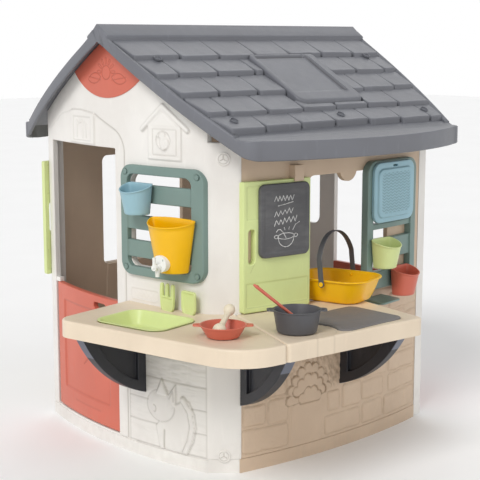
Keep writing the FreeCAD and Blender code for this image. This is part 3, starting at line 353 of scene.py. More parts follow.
def chalk():
    look = Finish("chalk_marks")
    grains = look.noise(1100.0, 4.0)
    base = look.mix(grains.spread(0.40, 0.58), rgb(0.30, 0.30, 0.31), rgb(0.82, 0.82, 0.80))
    return look.set(Base_Color=base, Roughness=grains * 0.1 + 0.85,
                    Normal=look.bumps([(grains, 0.4, 0.0006)]))


SPECKLED = speckled()
BOARD_FACE = slate_board()
CHALK = chalk()

# ---- making pieces ---------------------------------------------------------------------
NODE_BODY = {node: body for body, nodes in frame["record"]["behaviour"]["bodies"].items()
             for node in nodes}


def piece(name, work, material, node, replace=True, sharp=50):
    """Makes a piece from a millimetre bmesh and lets it ride with the node's body."""
    bmesh.ops.translate(work, vec=SHIFT, verts=work.verts)
    bmesh.ops.scale(work, vec=(0.001, 0.001, 0.001), verts=work.verts)
    mesh = bpy.data.meshes.new(name)
    work.to_mesh(mesh)
    work.free()
    mesh.shade_smooth()
    mesh.set_sharp_from_angle(angle=math.radians(sharp))
    item = bpy.data.objects.new(name, mesh)
    bpy.context.scene.collection.objects.link(item)
    mesh.materials.append(material)
    adopt(item, node, replace)
    return item


def adopt(item, node, replace=True):
    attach(item, NODE_BODY[node])
    if replace:
        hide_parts(node)


def flat_field(work):
    spots = np.array([w.co for w in work.verts])
    return spots[:, 0], spots[:, 1], spots[:, 2]


def move(verts, x, y, z):
    for w, spot in zip(verts, np.stack([x, y, z], 1)):
        w.co = spot


def sheet(name, box, step, inside, height, place, material, node, base=0.0, round_to=1.5,
          back=False, flip=False, replace=True, rings=3):
    """Moulded sheet over a flat shape: rounded rim, straight sides, optional back.

    inside(u, v) is the shape's distance field and height(u, v) its surface above the wall.
    The back is flat at base, or back(u, v) gives it.
    """
    wide = box[1] - box[0] + 2 * step
    tall = box[3] - box[2] + 2 * step
    work = bmesh.new()
    # Per-vertex painted shade for creases, read by the materials as the low attribute.
    crease_shade_layer = work.verts.layers.float.new("low")
    rest = work.verts.layers.int.new("rest")
    bmesh.ops.create_grid(work, x_segments=round(wide / step), y_segments=round(tall / step),
                          size=1)
    bmesh.ops.scale(work, vec=(wide / 2, tall / 2, 1), verts=work.verts)
    bmesh.ops.translate(work, vec=((box[0] + box[1]) / 2, (box[2] + box[3]) / 2, 0),
                        verts=work.verts)
    middles = np.array([f.calc_center_median() for f in work.faces])
    gone = inside(middles[:, 0], middles[:, 1]) + round_to >= 0
    bmesh.ops.delete(work, geom=[f for f, out in zip(work.faces, gone) if out], context="FACES")

    def slope(u, v):
        gu = inside(u + 0.05, v) - inside(u - 0.05, v)
        gv = inside(u, v + 0.05) - inside(u, v - 0.05)
        size = np.maximum(np.hypot(gu, gv), 1e-9)
        return gu / size, gv / size

    u, v, _ = flat_field(work)
    rim = np.array([w.is_boundary for w in work.verts])
    ru, rv = u[rim], v[rim]
    for _ in range(3):
        gu, gv = slope(ru, rv)
        off = np.clip(inside(ru, rv) + round_to, -step, step)
        ru, rv = ru - off * gu, rv - off * gv
    u[rim], v[rim] = ru, rv
    made = height(u, v)
    # height() may also give painted crease shade beside the surface.
    top, low = made if isinstance(made, tuple) else (made, np.zeros(len(u)))
    for w, value in zip(work.verts, low):
        w[crease_shade_layer] = value
    move(work.verts, u, v, top)
    edges = [e for e in work.edges if e.is_boundary]
    upper = list(work.faces)
    ru, rv, rh = u[rim], v[rim], top[rim]
    gu, gv = slope(ru, rv)
    for index, w in enumerate([w for w in work.verts if w.is_boundary]):
        w[rest] = index + 1
    stations = [(math.sin(t) * round_to, (1 - math.cos(t)) * round_to)
                for t in np.linspace(0, math.pi / 2, rings + 1)[1:]]
    for out, drop in stations + [(round_to, None)]:
        made = bmesh.ops.extrude_edge_only(work, edges=edges)["geom"]
        fresh = [g for g in made if isinstance(g, bmesh.types.BMVert)]
        edges = [g for g in made if isinstance(g, bmesh.types.BMEdge) and g.is_boundary]
        order = np.array([w[rest] - 1 for w in fresh])
        level = rh[order] - drop if drop is not None else np.full(len(fresh), float(base))
        move(fresh, ru[order] + gu[order] * out, rv[order] + gv[order] * out, level)
    if back:
        made = bmesh.ops.duplicate(work, geom=upper)["geom"]
        lower = [g for g in made if isinstance(g, bmesh.types.BMFace)]
        under = [g for g in made if isinstance(g, bmesh.types.BMVert)]
        spots = np.array([w.co for w in under])
        order = np.array([w[rest] - 1 for w in under])
        edge = order >= 0
        deep = np.full(len(under), float(base))
        if callable(back):
            deep = back(spots[:, 0], spots[:, 1])
        spots[edge, 0] = (ru + gu * round_to)[order[edge]]
        spots[edge, 1] = (rv + gv * round_to)[order[edge]]
        deep[edge] = base
        move(under, spots[:, 0], spots[:, 1], deep)
        bmesh.ops.reverse_faces(work, faces=lower)
        bmesh.ops.remove_doubles(work, verts=[w for w in work.verts if w.is_boundary],
                                 dist=0.001)
    work.verts.layers.int.remove(rest)
    x, y, z = place(*flat_field(work))
    move(work.verts, x, y, z)
    if flip:
        bmesh.ops.reverse_faces(work, faces=work.faces)
    return piece(name, work, material, node, replace)


def on_gable(u, v, h):
    return gable_x(u, h), u, v


def on_eave(u, v, h):
    return u, eave_y(u, h), v


def on_top(u, v, h):
    return u, v, h


def turned(place):
    """The same place on the opposite side of the house."""
    def other(u, v, h):
        x, y, z = place(u, v, h)
        return -x, -y, z
    return other


def loft(name, loops, material, node, replace=True, sharp=50):
    """Skin over closed loops of equal count, capped at both ends."""
    count = len(loops[0])
    work = bmesh.new()
    bmesh.ops.create_grid(work, x_segments=count, y_segments=len(loops) - 1, size=1)
    columns = [round((w.co.x + 1) / 2 * count) % count for w in work.verts]
    rows = [round((w.co.y + 1) / 2 * (len(loops) - 1)) for w in work.verts]
    for w, row, column in zip(work.verts, rows, columns):
        w.co = loops[row][column]
    bmesh.ops.remove_doubles(work, verts=work.verts, dist=0.001)
    bmesh.ops.holes_fill(work, edges=work.edges, sides=0)
    bmesh.ops.recalc_face_normals(work, faces=work.faces)
    return piece(name, work, material, node, replace, sharp)


def fillet(points, radius, steps=5):
    """Rounds the inner corners of an open (r, z) profile."""
    done = [points[0]]
    for before, here, after in zip(points, points[1:], points[2:]):
        p, q, s = (np.array(w, float) for w in (before, here, after))
        a, b = p - q, s - q
        la, lb = np.linalg.norm(a), np.linalg.norm(b)
        reach = min(radius, la * 0.48, lb * 0.48)
        start, end = q + a / la * reach, q + b / lb * reach
        for k in range(steps + 1):
            t = k / steps
            done.append(tuple(start * (1 - t) ** 2 + q * 2 * t * (1 - t) + end * t * t))
    done.append(points[-1])
    return done


def lathe(name, profile, centre, material, node, segments=72, replace=True, axis=(0, 0, 1),
          sharp=40):
    """Spins an (r, z) profile about an axis through centre."""
    work = bmesh.new()
    line = [work.verts.new((max(r, 0.0), 0, z)) for r, z in profile]
    edges = [work.edges.new(pair) for pair in zip(line, line[1:])]
    bmesh.ops.spin(work, geom=line + edges, cent=(0, 0, 0), axis=(0, 0, 1), dvec=(0, 0, 0),
                   angle=2 * math.pi, steps=segments, use_merge=True, use_duplicate=False)
    bmesh.ops.remove_doubles(work, verts=work.verts, dist=0.005)
    bmesh.ops.recalc_face_normals(work, faces=work.faces)
    aim = Vector((0, 0, 1)).rotation_difference(Vector(axis).normalized()).to_matrix()
    bmesh.ops.rotate(work, cent=(0, 0, 0), matrix=aim, verts=work.verts)
    bmesh.ops.translate(work, vec=centre, verts=work.verts)
    return piece(name, work, material, node, replace, sharp)


def tube(name, path, section, material, node, replace=True, up=(0, 0, 1), sizes=None, sharp=50):
    """Sweeps a closed section (a, b) along a path of points."""
    path = [Vector(p) for p in path]
    loops = []
    for k, point in enumerate(path):
        ahead = (path[min(k + 1, len(path) - 1)] - path[max(k - 1, 0)]).normalized()
        side = ahead.cross(Vector(up)).normalized()
        lift = side.cross(ahead)
        size = sizes[k] if sizes else 1.0
        loops.append([point + side * (a * size) + lift * (b * size) for a, b in section])
    return loft(name, loops, material, node, replace, sharp)


def oval(a, b, count=20, power=2.0):
    points = []
    for t in np.linspace(0, 2 * math.pi, count, endpoint=False):
        c, s = math.cos(t), math.sin(t)
        points.append((a * math.copysign(abs(c) ** (2 / power), c),
                       b * math.copysign(abs(s) ** (2 / power), s)))
    return points


def brick(name, box, place, material, node, edge=1.0, replace=False):
    """Rounded block over local x0, x1, y0, y1, z0, z1, put where place(x, y, z) says."""
    work = bmesh.new()
    bmesh.ops.create_cube(work, size=1)
    low, high = np.array(box[0::2], float), np.array(box[1::2], float)
    bmesh.ops.scale(work, vec=high - low, verts=work.verts)
    bmesh.ops.translate(work, vec=(high + low) / 2, verts=work.verts)
    bmesh.ops.bevel(work, geom=work.edges, offset=edge, segments=3, profile=0.5,
                    affect="EDGES", material=-1)
    for w in work.verts:
        w.co = place(*w.co)
    bmesh.ops.recalc_face_normals(work, faces=work.faces)
    return piece(name, work, material, node, replace)


def finished(node, material, width=1.5, segments=2, angle=35, near=None, reshape=None):
    """Merged copy of a CAD node with rounded edges; reshape(x, y, z) gives a new height."""
    source = frame["nodes"][node]
    item = bpy.data.objects.new("fine_" + node, source.data.copy())
    bpy.context.scene.collection.objects.link(item)
    work = bmesh.new()
    work.from_mesh(item.data)
    bmesh.ops.remove_doubles(work, verts=work.verts, dist=2e-5)
    bmesh.ops.dissolve_limit(work, angle_limit=math.radians(0.4), verts=work.verts,
                             edges=work.edges)
    if near:
        chosen = []
        for edge in work.edges:
            if len(edge.link_faces) != 2 or edge.calc_face_angle(0) < math.radians(angle):
                continue
            ends = [np.array(w.co) * 1000 - SHIFT for w in edge.verts]
            if near(*ends):
                chosen.append(edge)
        bmesh.ops.bevel(work, geom=chosen, offset=width / 1000, segments=segments,
                        profile=0.5, affect="EDGES", clamp_overlap=False, material=-1)
    if reshape:
        for w in work.verts:
            x, y, z = np.array(w.co) * 1000 - SHIFT
            w.co.z = reshape(x, y, z) / 1000
    work.to_mesh(item.data)
    work.free()
    item.data.materials.clear()
    item.data.materials.append(material)
    item.data.shade_smooth()
    item.data.set_sharp_from_angle(angle=math.radians(30))
    if not near and width:
        rounding = item.modifiers.new("rounding", "BEVEL")
        rounding.width = width / 1000
        rounding.segments = segments
        rounding.limit_method = "ANGLE"
        rounding.angle_limit = math.radians(angle)
        rounding.harden_normals = True
    adopt(item, node)
    return item


# ---- gable wall ------------------------------------------------------------------------
DOOR = (-20.0, 392.0, 45.0, 948.0)
GABLE_WINDOW = (-343.0, -91.0, 599.0, 879.0)
BEND = 15.0
PLANKS = (-378, -74, 44, 433)
SEAMS = (115.0, 187.0, 259.0, 331.0, 403.0)


def wrap_path():
    """Plan line of the gable panel and the post it turns into, with outward normals."""
    ys = np.linspace(436.0, POST_A[1] + BEND, 90)
    points = [(float(gable_x(y)), float(y)) for y in ys]
    marks = [float(y) for y in ys]
    bends = ((np.array(points[-1]), POST_A, POST_A + POST_RUN * BEND),
             (POST_B - POST_RUN * 6.0, POST_B, POST_B + (5.0, -1.2)))
    for start, corner, stop in bends:
        for t in np.linspace(0, 1, 8):
            spot = start * (1 - t) ** 2 + corner * 2 * t * (1 - t) + stop * t * t
            step = math.hypot(*(spot - points[-1]))
            if step > 1e-6:
                marks.append(marks[-1] - step)
                points.append((float(spot[0]), float(spot[1])))
    line = np.array(points)
    tangent = np.gradient(line, axis=0)
    tangent /= np.linalg.norm(tangent, axis=1)[:, None]
    normal = np.stack([tangent[:, 1], -tangent[:, 0]], 1)
    return np.array(marks)[::-1], line[::-1], normal[::-1]


WRAP_MARKS, WRAP_LINE, WRAP_NORMAL = wrap_path()
WRAP_END = float(WRAP_MARKS[0])


def on_wrap(u, v, h):
    x = np.interp(u, WRAP_MARKS, WRAP_LINE[:, 0])
    y = np.interp(u, WRAP_MARKS, WRAP_LINE[:, 1])
    nx = np.interp(u, WRAP_MARKS, WRAP_NORMAL[:, 0])
    ny = np.interp(u, WRAP_MARKS, WRAP_NORMAL[:, 1])
    return x + nx * h, y + ny * h, v


def gable_shape(u, v):
    slope_cut = (v - (ROOF_LINE_TOP - 15 - ROOF_SLOPE * np.abs(u))) * 0.865
    sd = np.maximum(np.maximum(PLINTH - v, v - 1262), slope_cut)
    sd = np.maximum(sd, np.maximum(u - 434.5, WRAP_END - u))
    sd = np.maximum(sd, np.where(u < -384, v - 984, -50))
    sd = np.maximum(sd, -sd_box(u, v, DOOR, 4))
    return np.maximum(sd, -sd_box(u, v, GABLE_WINDOW, 30))


def cat(u, v):
    """Sitting cat: height field over the planks."""
    body = sd_poly(u, v, [(-190, 112), (-206, 40), (-304, 40), (-332, 84), (-342, 130),
                          (-336, 170), (-318, 205), (-300, 208), (-268, 190)])
    head = sd_oval(u, v, -209, 176, 56, 48)
    ears = np.minimum(sd_poly(u, v, [(-214, 262), (-192, 214), (-240, 212)]),
                      sd_poly(u, v, [(-268, 250), (-236, 208), (-268, 176)]))
    tail = sd_line(u, v, [(-296, 210), (-322, 178), (-331, 132), (-322, 88), (-302, 44)], 9)
    leg = sd_line(u, v, [(-224, 44), (-226, 104)], 3.0)
    eye = sd_line(u, v, arc_points(-186, 166, 9, 11, 80, 280, 8), 1.4)
    ear_fold = sd_line(u, v, [(-246, 206), (-261, 232), (-262, 200)], 1.6)
    fold = np.where(body < -3, np.minimum(np.abs(head), np.abs(tail)), 99.0)
    field = 5.0 * bump(body, 7) + 2.0 * smooth(-body / 30)
    field = np.maximum(field, 9.0 * smooth(0.15 - head / 34))
    field = np.maximum(field, 8.0 * bump(ears, 8))
    field = np.maximum(field, 8.5 * bump(tail, 8))
    field -= 3.0 * bump(leg, 4) + 1.6 * bump(eye, 2.5) + 2.0 * bump(ear_fold, 3)
    field -= 2.4 * bump(fold - 1.4, 4)
    rim = np.minimum(np.minimum(body, head), np.minimum(ears, tail))
    return field, rim, np.minimum(np.minimum(fold, leg + 1), np.minimum(eye, ear_fold) + 1)


def bird_house(u, v):
    """Bird house with a little bird: height field above the wall."""
    body = sd_poly(u, v, [(-171, 926), (-298, 926), (-298, 1024), (-229, 1080), (-171, 1030)])
    roof = sd_line(u, v, [(-147, 1014), (-229, 1084), (-320, 1016)], 7)
    field = 4.0 * bump(body, 4)
    field = np.maximum(field, 7.5 * bump(roof, 5))
    frame_line = np.abs(sd_box(u, v, (-280, -190, 940, 1016), 3)) - 1.2
    gable_line = np.abs(sd_poly(u, v, [(-185, 1022), (-285, 1022), (-229, 1066)])) - 0.9
    field -= 2.0 * bump(frame_line - 0.6, 3) + 1.6 * bump(gable_line - 0.6, 3)
    hole = sd_disc(u, v, -232, 984, 27)
    bird = sd_oval(u, v, -236, 976, 17, 20)
    head = sd_disc(u, v, -229, 997, 12)
    beak = sd_poly(u, v, [(-218, 1000), (-206, 995), (-219, 992)])
    wing = np.abs(sd_oval(u, v, -241, 974, 9, 13)) - 0.9
    field += 1.6 * bump(np.abs(hole) - 1.6, 3) - 2.4 * bump(hole + 2, 4)
    field += 5.0 * bump(np.minimum(np.minimum(bird, head), beak), 6) - 1.6 * bump(wing, 2.4)
    for nu, nv in ((-288, 936), (-181, 936), (-229, 1063), (-240, 948), (-224, 948)):
        field -= 2.4 * bump(sd_disc(u, v, nu, nv, 2.6), 2)
    rim = np.minimum(np.abs(np.minimum(body, roof)), np.minimum(np.abs(hole), frame_line + 1.0))
    return field, np.minimum(rim, np.abs(np.minimum(bird, head)))


def plaque(u, v):
    """Number plaque over the door."""
    block = sd_poly(u, v, [(84, 952), (84, 1040), (90, 1050), (160, 1058), (224, 1056),
                           (232, 1048), (232, 952)])
    field = 6.0 * bump(block, 5)
    field -= 2.0 * bump(sd_box(u, v, (103, 208, 962, 1036), 3), 3)
    strokes = np.minimum(sd_line(u, v, [(168, 1018), (150, 1024), (150, 974)], 3.4),
                         sd_line(u, v, [(178, 1014), (184, 1024), (184, 974)], 3.4))
    strokes = np.minimum(strokes, sd_line(u, v, [(138, 1020), (126, 1014), (128, 974)], 2.6))
    field += 2.4 * bump(strokes, 3.4)
    inner = sd_box(u, v, (103, 208, 962, 1036), 3)
    return field, np.minimum(np.minimum(np.abs(block), np.abs(inner)), np.abs(strokes) + 0.6)


def gable_height(u, v):
    wall = Relief(u, v, 3.0, 0.15, 60, 3)
    wall.press(sd_line(u, v, [(-63, 43), (-63, 935)] + arc_points(20, 935, 83, 78, 180, 112, 10)
                       + [(60, 1036), (84, 1047)], 2.2), 2.4, 4.5, 0.85, 5)
    wall.press(sd_line(u, v, [(232, 1052), (300, 1040), (405, 985)], 0.9), 1.6, 4, 0.4, 4)
    planks = sd_box(u, v, PLANKS, 2)
    inside = bump(planks, 5)
    seams = np.min([np.abs(v - z + 1.5 * lattice(u, v, 90, 11 + index))
                    for index, z in enumerate(SEAMS)], 0) - 0.9
    warp = v + 5.0 * lattice(u, v, 75, 21) + 2.0 * lattice(u, v, 26, 22)
    grain = lattice(u * 0.10, warp, 5.0, 23) + 0.7 * lattice(u * 0.16, warp, 2.9, 24)
    knot = np.hypot((u + 120) / 2.6, v - 372)
    grain += 0.8 * np.sin(knot * 0.9) * smooth(1 - knot / 26)
    strength = 0.30 + 0.55 * smooth((v - 205) / 60)
    wall.h += inside * (-1.6 + strength * grain * 0.95 - 1.3 * bump(seams - 1.2, 4.2))
    # Painted shade in the plank seams and the hollows of the grain.
    wall.painted_shade += inside * (0.75 * bump(seams - 0.8, 4.5)
                           + 0.30 * np.clip(-grain, 0, 1) * strength)
    wall.shade(np.abs(planks) - 1.2, 0.7, 4.5)
    tag = sd_box(u, v, (-207, -87, 495, 531), 9)
    wall.press(np.abs(tag) - 1.4, -1.6, 3.2)
    zigzag = [(-105 - 10 * k, 513 + 7 * (-1) ** k) for k in range(9)]
    wall.press(sd_line(u, v, zigzag, 1.8), -1.0, 3)
    wall.shade(np.abs(tag + 3) - 0.8, 0.35, 4)
    for relief in (bird_house, plaque):
        field, rim = relief(u, v)
        wall.h += field
        wall.shade(rim - 1.0, 0.62, 4.0)
    field, rim, marks = cat(u, v)
    solid = bump(rim, 4)
    wall.h = wall.h * (1 - solid) + 1.2 * solid + field * inside
    # Painted shade: faint over the cat, deeper along its outline and fold marks.
    wall.painted_shade = np.where(rim < -1, 0.1, wall.painted_shade)
    wall.painted_shade += (0.85 * bump(np.abs(rim - 1.6) - 1.2, 5) + 0.75 * bump(marks - 1.2, 4)) * inside
    return wall.done(0.15)


def gable_panels():
    box = (WRAP_END, 436, PLINTH, 1264)
    sheet("gable_skin", box, 2.9, gable_shape, gable_height, on_wrap, WHITE,
          "gable_wall_front", base=-0.6, round_to=1.5, replace=False, flip=True)
    sheet("rear_gable_skin", box, 5.0, gable_shape, gable_height, turned(on_wrap), WHITE,
          "gable_wall_rear", base=-0.6, round_to=1.5, replace=False, flip=True)
    for node in ("gable_wall_front", "gable_wall_rear"):
        finished(node, WHITE, width=0)


# ---- kitchen wall ----------------------------------------------------------------------
KITCHEN_WINDOW = (-150.0, 221.0, 485.0, 873.0)
STONES = [(-394, -226, 54, 127), (-392, -312, 138, 200), (-303, -226, 133, 206),
          (-392, -330, 212, 262), (-320, -236, 218, 268),
          (-76, 88, 52, 112), (-64, -10, 126, 190), (3, 92, 124, 200), (98, 208, 130, 190),
          (100, 204, 52, 118), (216, 396, 54, 118), (238, 396, 128, 186), (106, 226, 200, 262),
          (238, 398, 196, 250), (196, 300, 272, 330), (310, 398, 262, 318), (40, 96, 210, 258),
          (212, 330, 342, 396), (340, 400, 330, 384), (240, 398, 406, 462), (100, 200, 342, 400)]
TRUNK = [(-222, 41), (-216, 150), (-208, 200), (-160, 214), (-100, 204), (-84, 150), (-84, 110),
         (-92, 41)]
CROWN = [[(-222, 190), (-216, 222), (-200, 250), (-178, 274), (-150, 286), (-122, 281), (-98, 262),
          (-80, 238), (-68, 210)],
         [(-196, 216), (-178, 238), (-152, 252), (-126, 249), (-104, 230), (-92, 206)],
         [(-172, 190), (-150, 207), (-126, 207), (-108, 190)]]


def kitchen_shape(u, v):
    sd = sd_box(u, v, (-397, 406, PLINTH, 984))
    return np.maximum(sd, -sd_box(u, v, KITCHEN_WINDOW, 20))


def kitchen_height(u, v):
    wall = Relief(u, v, 0.7)
    lower = smooth((480 - v) / 4)
    wall.h += lower * (1.4 + 0.3 * lattice(u, v, 14, 31) + 0.15 * lattice(u, v, 6, 32))
    render = smooth((v - 185) / 40) * smooth((470 - v) / 30) * smooth((60 - u) / 60)
    strokes = lattice(u + 0.5 * v, v - 0.4 * u, 9, 33, 2.4) + 0.6 * lattice(u, v, 7, 34)
    wall.h += render * (1.8 + 2.2 * strokes)
    # Painted shade in the hollows of the render strokes.
    wall.painted_shade += render * 0.6 * np.clip(-strokes, 0, 1)
    wobble_u = u + 2.2 * lattice(u, v, 22, 35)
    wobble_v = v + 2.2 * lattice(u, v, 24, 36)
    nearest = np.full(len(u), 99.0)
    for index, box in enumerate(STONES):
        sd = sd_box(wobble_u, wobble_v, box, 9)
        stone = 0.6 + (4.2 + 0.5 * math.sin(index * 2.1)) * smooth(-sd / 6.0 + 0.15)
        pits = lattice(u, v, 11, 40 + index) * 0.45 + lattice(u, v, 5.5, 70 + index) * 0.35
        wall.lay(sd < 3, np.maximum(wall.h * bump(-sd + 1.5, 4) * 0.5,
                                    stone + pits * smooth(-sd / 8)))
        nearest = np.minimum(nearest, sd)
    # Painted shade round each stone's outline.
    wall.shade(np.abs(nearest - 0.6) - 0.4, 0.50, 4.2)
    trunk = sd_poly(u, v, TRUNK)
    wall.lay(trunk < 4, np.maximum(wall.h * bump(-trunk + 2, 4), 3.4 * bump(trunk, 10)
                                   + 0.2 * lattice(u, v, 50, 37)))
    wall.painted_shade = np.where(trunk < 0, 0.0, wall.painted_shade)
    for level, arch in enumerate(CROWN):
        under = [(arch[0][0] - 6, arch[0][1] - 16)] + arch + [(arch[-1][0] + 6, arch[-1][1] - 16)]
        leaves = np.minimum(sd_poly(u, v, under),
                            np.min([sd_disc(u, v, *middle, 15.5) for middle in arch], 0))
        wall.lay(leaves < 2, np.maximum(0.5, (7.5 - 1.4 * level) * bump(leaves, 5)
                                        + 0.3 * lattice(u, v, 16, 38 + level)))
        wall.painted_shade = np.where(leaves < -2, 0.05, wall.painted_shade)
        wall.shade(np.abs(leaves - 1.0) - 1.0, 0.9, 4.5)
    wall.press(np.abs(u - 399) - 0.8, 0.5, 3, 0.7, 3.5)
    return wall.done(0.15)


def kitchen_panels():
    box = (-397, 406, PLINTH, 984)
    sheet("kitchen_skin", box, 2.7, kitchen_shape, kitchen_height, on_eave, SAND,
          "kitchen_wall", base=-0.6, round_to=1.3, replace=False)
    sheet("back_skin", box, 4.6, kitchen_shape, kitchen_height, turned(on_eave), SAND,
          "back_wall", base=-0.6, round_to=1.3, replace=False)
    for node in ("kitchen_wall", "back_wall"):
        finished(node, SAND, width=0)


# ---- roof ------------------------------------------------------------------------------
SKYLIGHT = (-92.0, 200.0, 152.0, 388.0)
JOINTS = ((-366, -209, -52, 104, 259, 415), (-445, -288, -131, 26, 183, 329, 473),
          (-367, -210, -53, 104, 261, 418), (-411, -258, -108, 42, 192, 342),
          (-333, -183, -33, 117, 267, 412))
VERGE_R, VERGE_CX = 1545.35, 976.35
EAVE_ARC_R, EAVE_ARC_CY = 1064.96, 401.96


def on_roof(u, v, h):
    """u along the ridge, v the distance from it, h above the roof's own slope."""
    return u, -v, roof_line(v) + h


def roof_edge(a, b):
    """True for the edges of the roof's rim and of the ridge cap."""
    for p in (a, b):
        x, y = abs(p[0]), abs(p[1])
        verge = abs(math.hypot(x + VERGE_CX, y) - VERGE_R) < 1.2 and y < 529
        eave = abs(math.hypot(x, y + EAVE_ARC_CY) - EAVE_ARC_R) < 1.2
        corner = x > 430 and y > 526
        cap = abs(y - 50) < 0.6
        if not (verge or eave or corner or cap) or y < 1:
            return False
    return abs(a[2] - b[2]) < 60 and abs(a[2] - b[2]) < 0.9 * np.linalg.norm(a - b)


def tile_bed(x, y, z):
    """Lowers the field under the tiles to one even slope."""
    far = abs(y)
    field = math.hypot(abs(x) + VERGE_CX, y) < VERGE_R - 17 and 50.5 < far < 489
    if field and z > roof_line(y) - 10:
        return roof_line(y) - 12.0
    return z


def tiles(turn, node):
    start = TILE_START
    for row, end in enumerate(TILE_ENDS):
        place = turned(on_roof) if turn else on_roof
        cuts = (-560,) + JOINTS[row] + (560,)
        for index in range(len(cuts) - 1):
            x0, x1 = cuts[index] + 0.2, cuts[index + 1] - 0.2
            reach = math.sqrt(VERGE_R ** 2 - end ** 2) - VERGE_CX - 19
            if x0 > reach - 26 or x1 < -reach + 26:
                continue
            low, high = start - 6, end + 3.2 + 5.0 * math.sin(7.3 * index + 2.1 * row)
            if x0 > SKYLIGHT[0] - 4 and x1 < SKYLIGHT[1] + 4 and 120 < low and high < 400:
                continue

            def shape(u, v, x0=x0, x1=x1, low=low, high=high):
                near_end = smooth((v - high + 58) / 58)
                sd = sd_box(u, v, (x0, x1, low - 30, high), 9) + 5.5 * near_end ** 2
                sd = np.maximum(sd, v - high)
                sd = np.maximum(sd, low - v)
                sd = np.maximum(sd, np.hypot(np.abs(u) + VERGE_CX, v) - VERGE_R + 20)
                return np.maximum(sd, -sd_box(u, v, SKYLIGHT, 24) + 4)

            def height(u, v, seed=row * 10 + index, low=low, high=high):
                rise = -8.0 + 13.0 * (v - low) / (high - low)
                tilt = lattice(np.full(len(u), seed * 3.1), np.zeros(len(u)), 1.0, 50)
                side = 1.2 * tilt * (u - (cuts[index] + cuts[index + 1]) / 2) / 80
                swell = 0.6 * lattice(u, v, 40, 51 + seed) + 0.25 * lattice(u, v, 12, 52)
                lip = 0.9 * bump(np.abs(v - high + 7) - 3, 6)
                return 3.0 + rise + swell + side + lip, 0.0 * u

            box = (x0, x1, low, high)
            sheet(f"tile_{node[-5:]}_{row}_{index}", box, 6.0, shape, height, place, SLATE, node,
                  base=-13.0, round_to=3.6, flip=True, replace=False, rings=4)
        start = end


def skylight_height(u, v):
    """Smooth panel with an L-shaped gutter and a raised hinge block."""
    panel = Relief(u, v, 11.0, 0.5, 70, 61)
    rim = sd_box(u, v, (-74, 141, 166, 346), 6)
    panel.press(rim, 1.3, 3)
    panel.shade(np.abs(rim) - 0.6, 0.4, 3)
    gutter = np.minimum(sd_box(u, v, (-74, 141, 162, 172), 2),
                        sd_box(u, v, (146, 164, 165, 346), 7))
    panel.press(gutter, 10.0, 3.5, 0.9, 4)
    panel.press(np.abs(gutter - 4.0) - 1.2, -1.8, 3)
    panel.press(sd_box(u, v, (140, 152, 158, 172), 2), -2.0, 3)
    return panel.done()


ROOF_SCREW = [(0, -3), (7, -3), (8.5, -2), (8.5, 4), (10, 5), (10, 3), (12.2, 3), (12.8, 5),
              (13.2, 9), (12, 9.6), (11, 9.0), (10.4, 4), (0, 4)]


def roofs():
    for node, turn in (("roof_front", False), ("roof_back", True)):
        finished(node, SLATE, width=4.5, segments=4, near=roof_edge, reshape=tile_bed)
        tiles(turn, node)
        place = turned(on_roof) if turn else on_roof
        sheet("skylight_" + node, (-92, 200, 148, 388), 3.2,
              lambda u, v: np.maximum(sd_box(u, v, (-92, 200, 100, 388), 30), 150 - v),
              skylight_height, place, SLATE, node, base=-13, round_to=6, flip=True, replace=False)
    front = ((-460, -150), (470, -150), (-425, -446), (20, -446), (425, -446))
    heads = [(x * side, y * side) for x, y in front for side in (1, -1)]
    for index, (x, y) in enumerate(heads):
        lathe(f"roof_screw_{index}", ROOF_SCREW, (x, y, roof_line(y) - 4), SLATE,
              "roof_screws", 40, replace=index == 0,
              axis=(0, math.copysign(ROOF_SLOPE, y), 1))


# ---- gable plate, doors, trellises, shutters -------------------------------------------
def plate_shape(u, v):
    top = (v - (ROOF_LINE_TOP - 17 - ROOF_SLOPE * np.abs(u))) * 0.865
    return np.maximum(np.maximum(top, v - 1264), sd_disc(u, v, 20, 1348, 249))


def plate_height(u, v):
    """Emblem of a sun over two leaves, drawn in grooves with painted shade in them."""
    sun = np.abs(sd_disc(u, v, 15, 1176, 21)) - 1.2
    marks = sun
    for k in range(-3, 4):
        a = math.radians(90 + k * 29)
        ray = [(15 + 29 * math.cos(a), 1176 + 29 * math.sin(a)),
               (15 + 42 * math.cos(a), 1176 + 42 * math.sin(a))]
        marks = np.minimum(marks, np.abs(sd_line(u, v, ray, 3.4)) - 0.9)
    for side in (-1, 1):
        leaf = np.maximum(sd_disc(u, v, 15 + side * 58, 1128, 46),
                          sd_disc(u, v, 15 + side * 66, 1188, 46))
        vein = sd_line(u, v, [(15 + side * 28, 1153), (15 + side * 96, 1163)], 0.9)
        marks = np.minimum(marks, np.minimum(np.abs(leaf) - 1.1, vein))
    return 5.9 - 1.7 * bump(marks, 2.2) + 0.15 * lattice(u, v, 50, 63), 0.85 * bump(marks, 2.6)


def door_shape(u, v):
    sd = sd_box(u, v, (-17, 385, 48, 470), 4)
    return np.maximum(sd, -sd_box(u, v, (52, 120, 426, 448), 10))


def door_height(u, v):
    leaf = Relief(u, v, -2.0, 0.16, 70, 64)
    field = sd_box(u, v, (35, 330, 122, 418), 7)
    leaf.press(field, 4.2, 5)
    leaf.shade(np.abs(field) - 1.5, 0.5, 5)
    leaf.press(sd_line(u, v, [(196, 226), (164, 252)], 2.0), 1.6, 3, 0.8, 3)
    leaf.press(sd_line(u, v, [(92, 92), (250, 92)], 3.0), 0.7, 4, 0.3, 5)
    return leaf.done()


G_TRELLIS = (-386.0, -62.0, 572.0, 906.0)
G_SLATS = ((795.0, 849.0), (712.0, 755.0), (627.0, 679.0))
K_TRELLIS = (86.0, 352.0, 470.0, 900.0)
K_SLATS = ((682.0, 700.0), (584.0, 649.0), (490.0, 547.0))


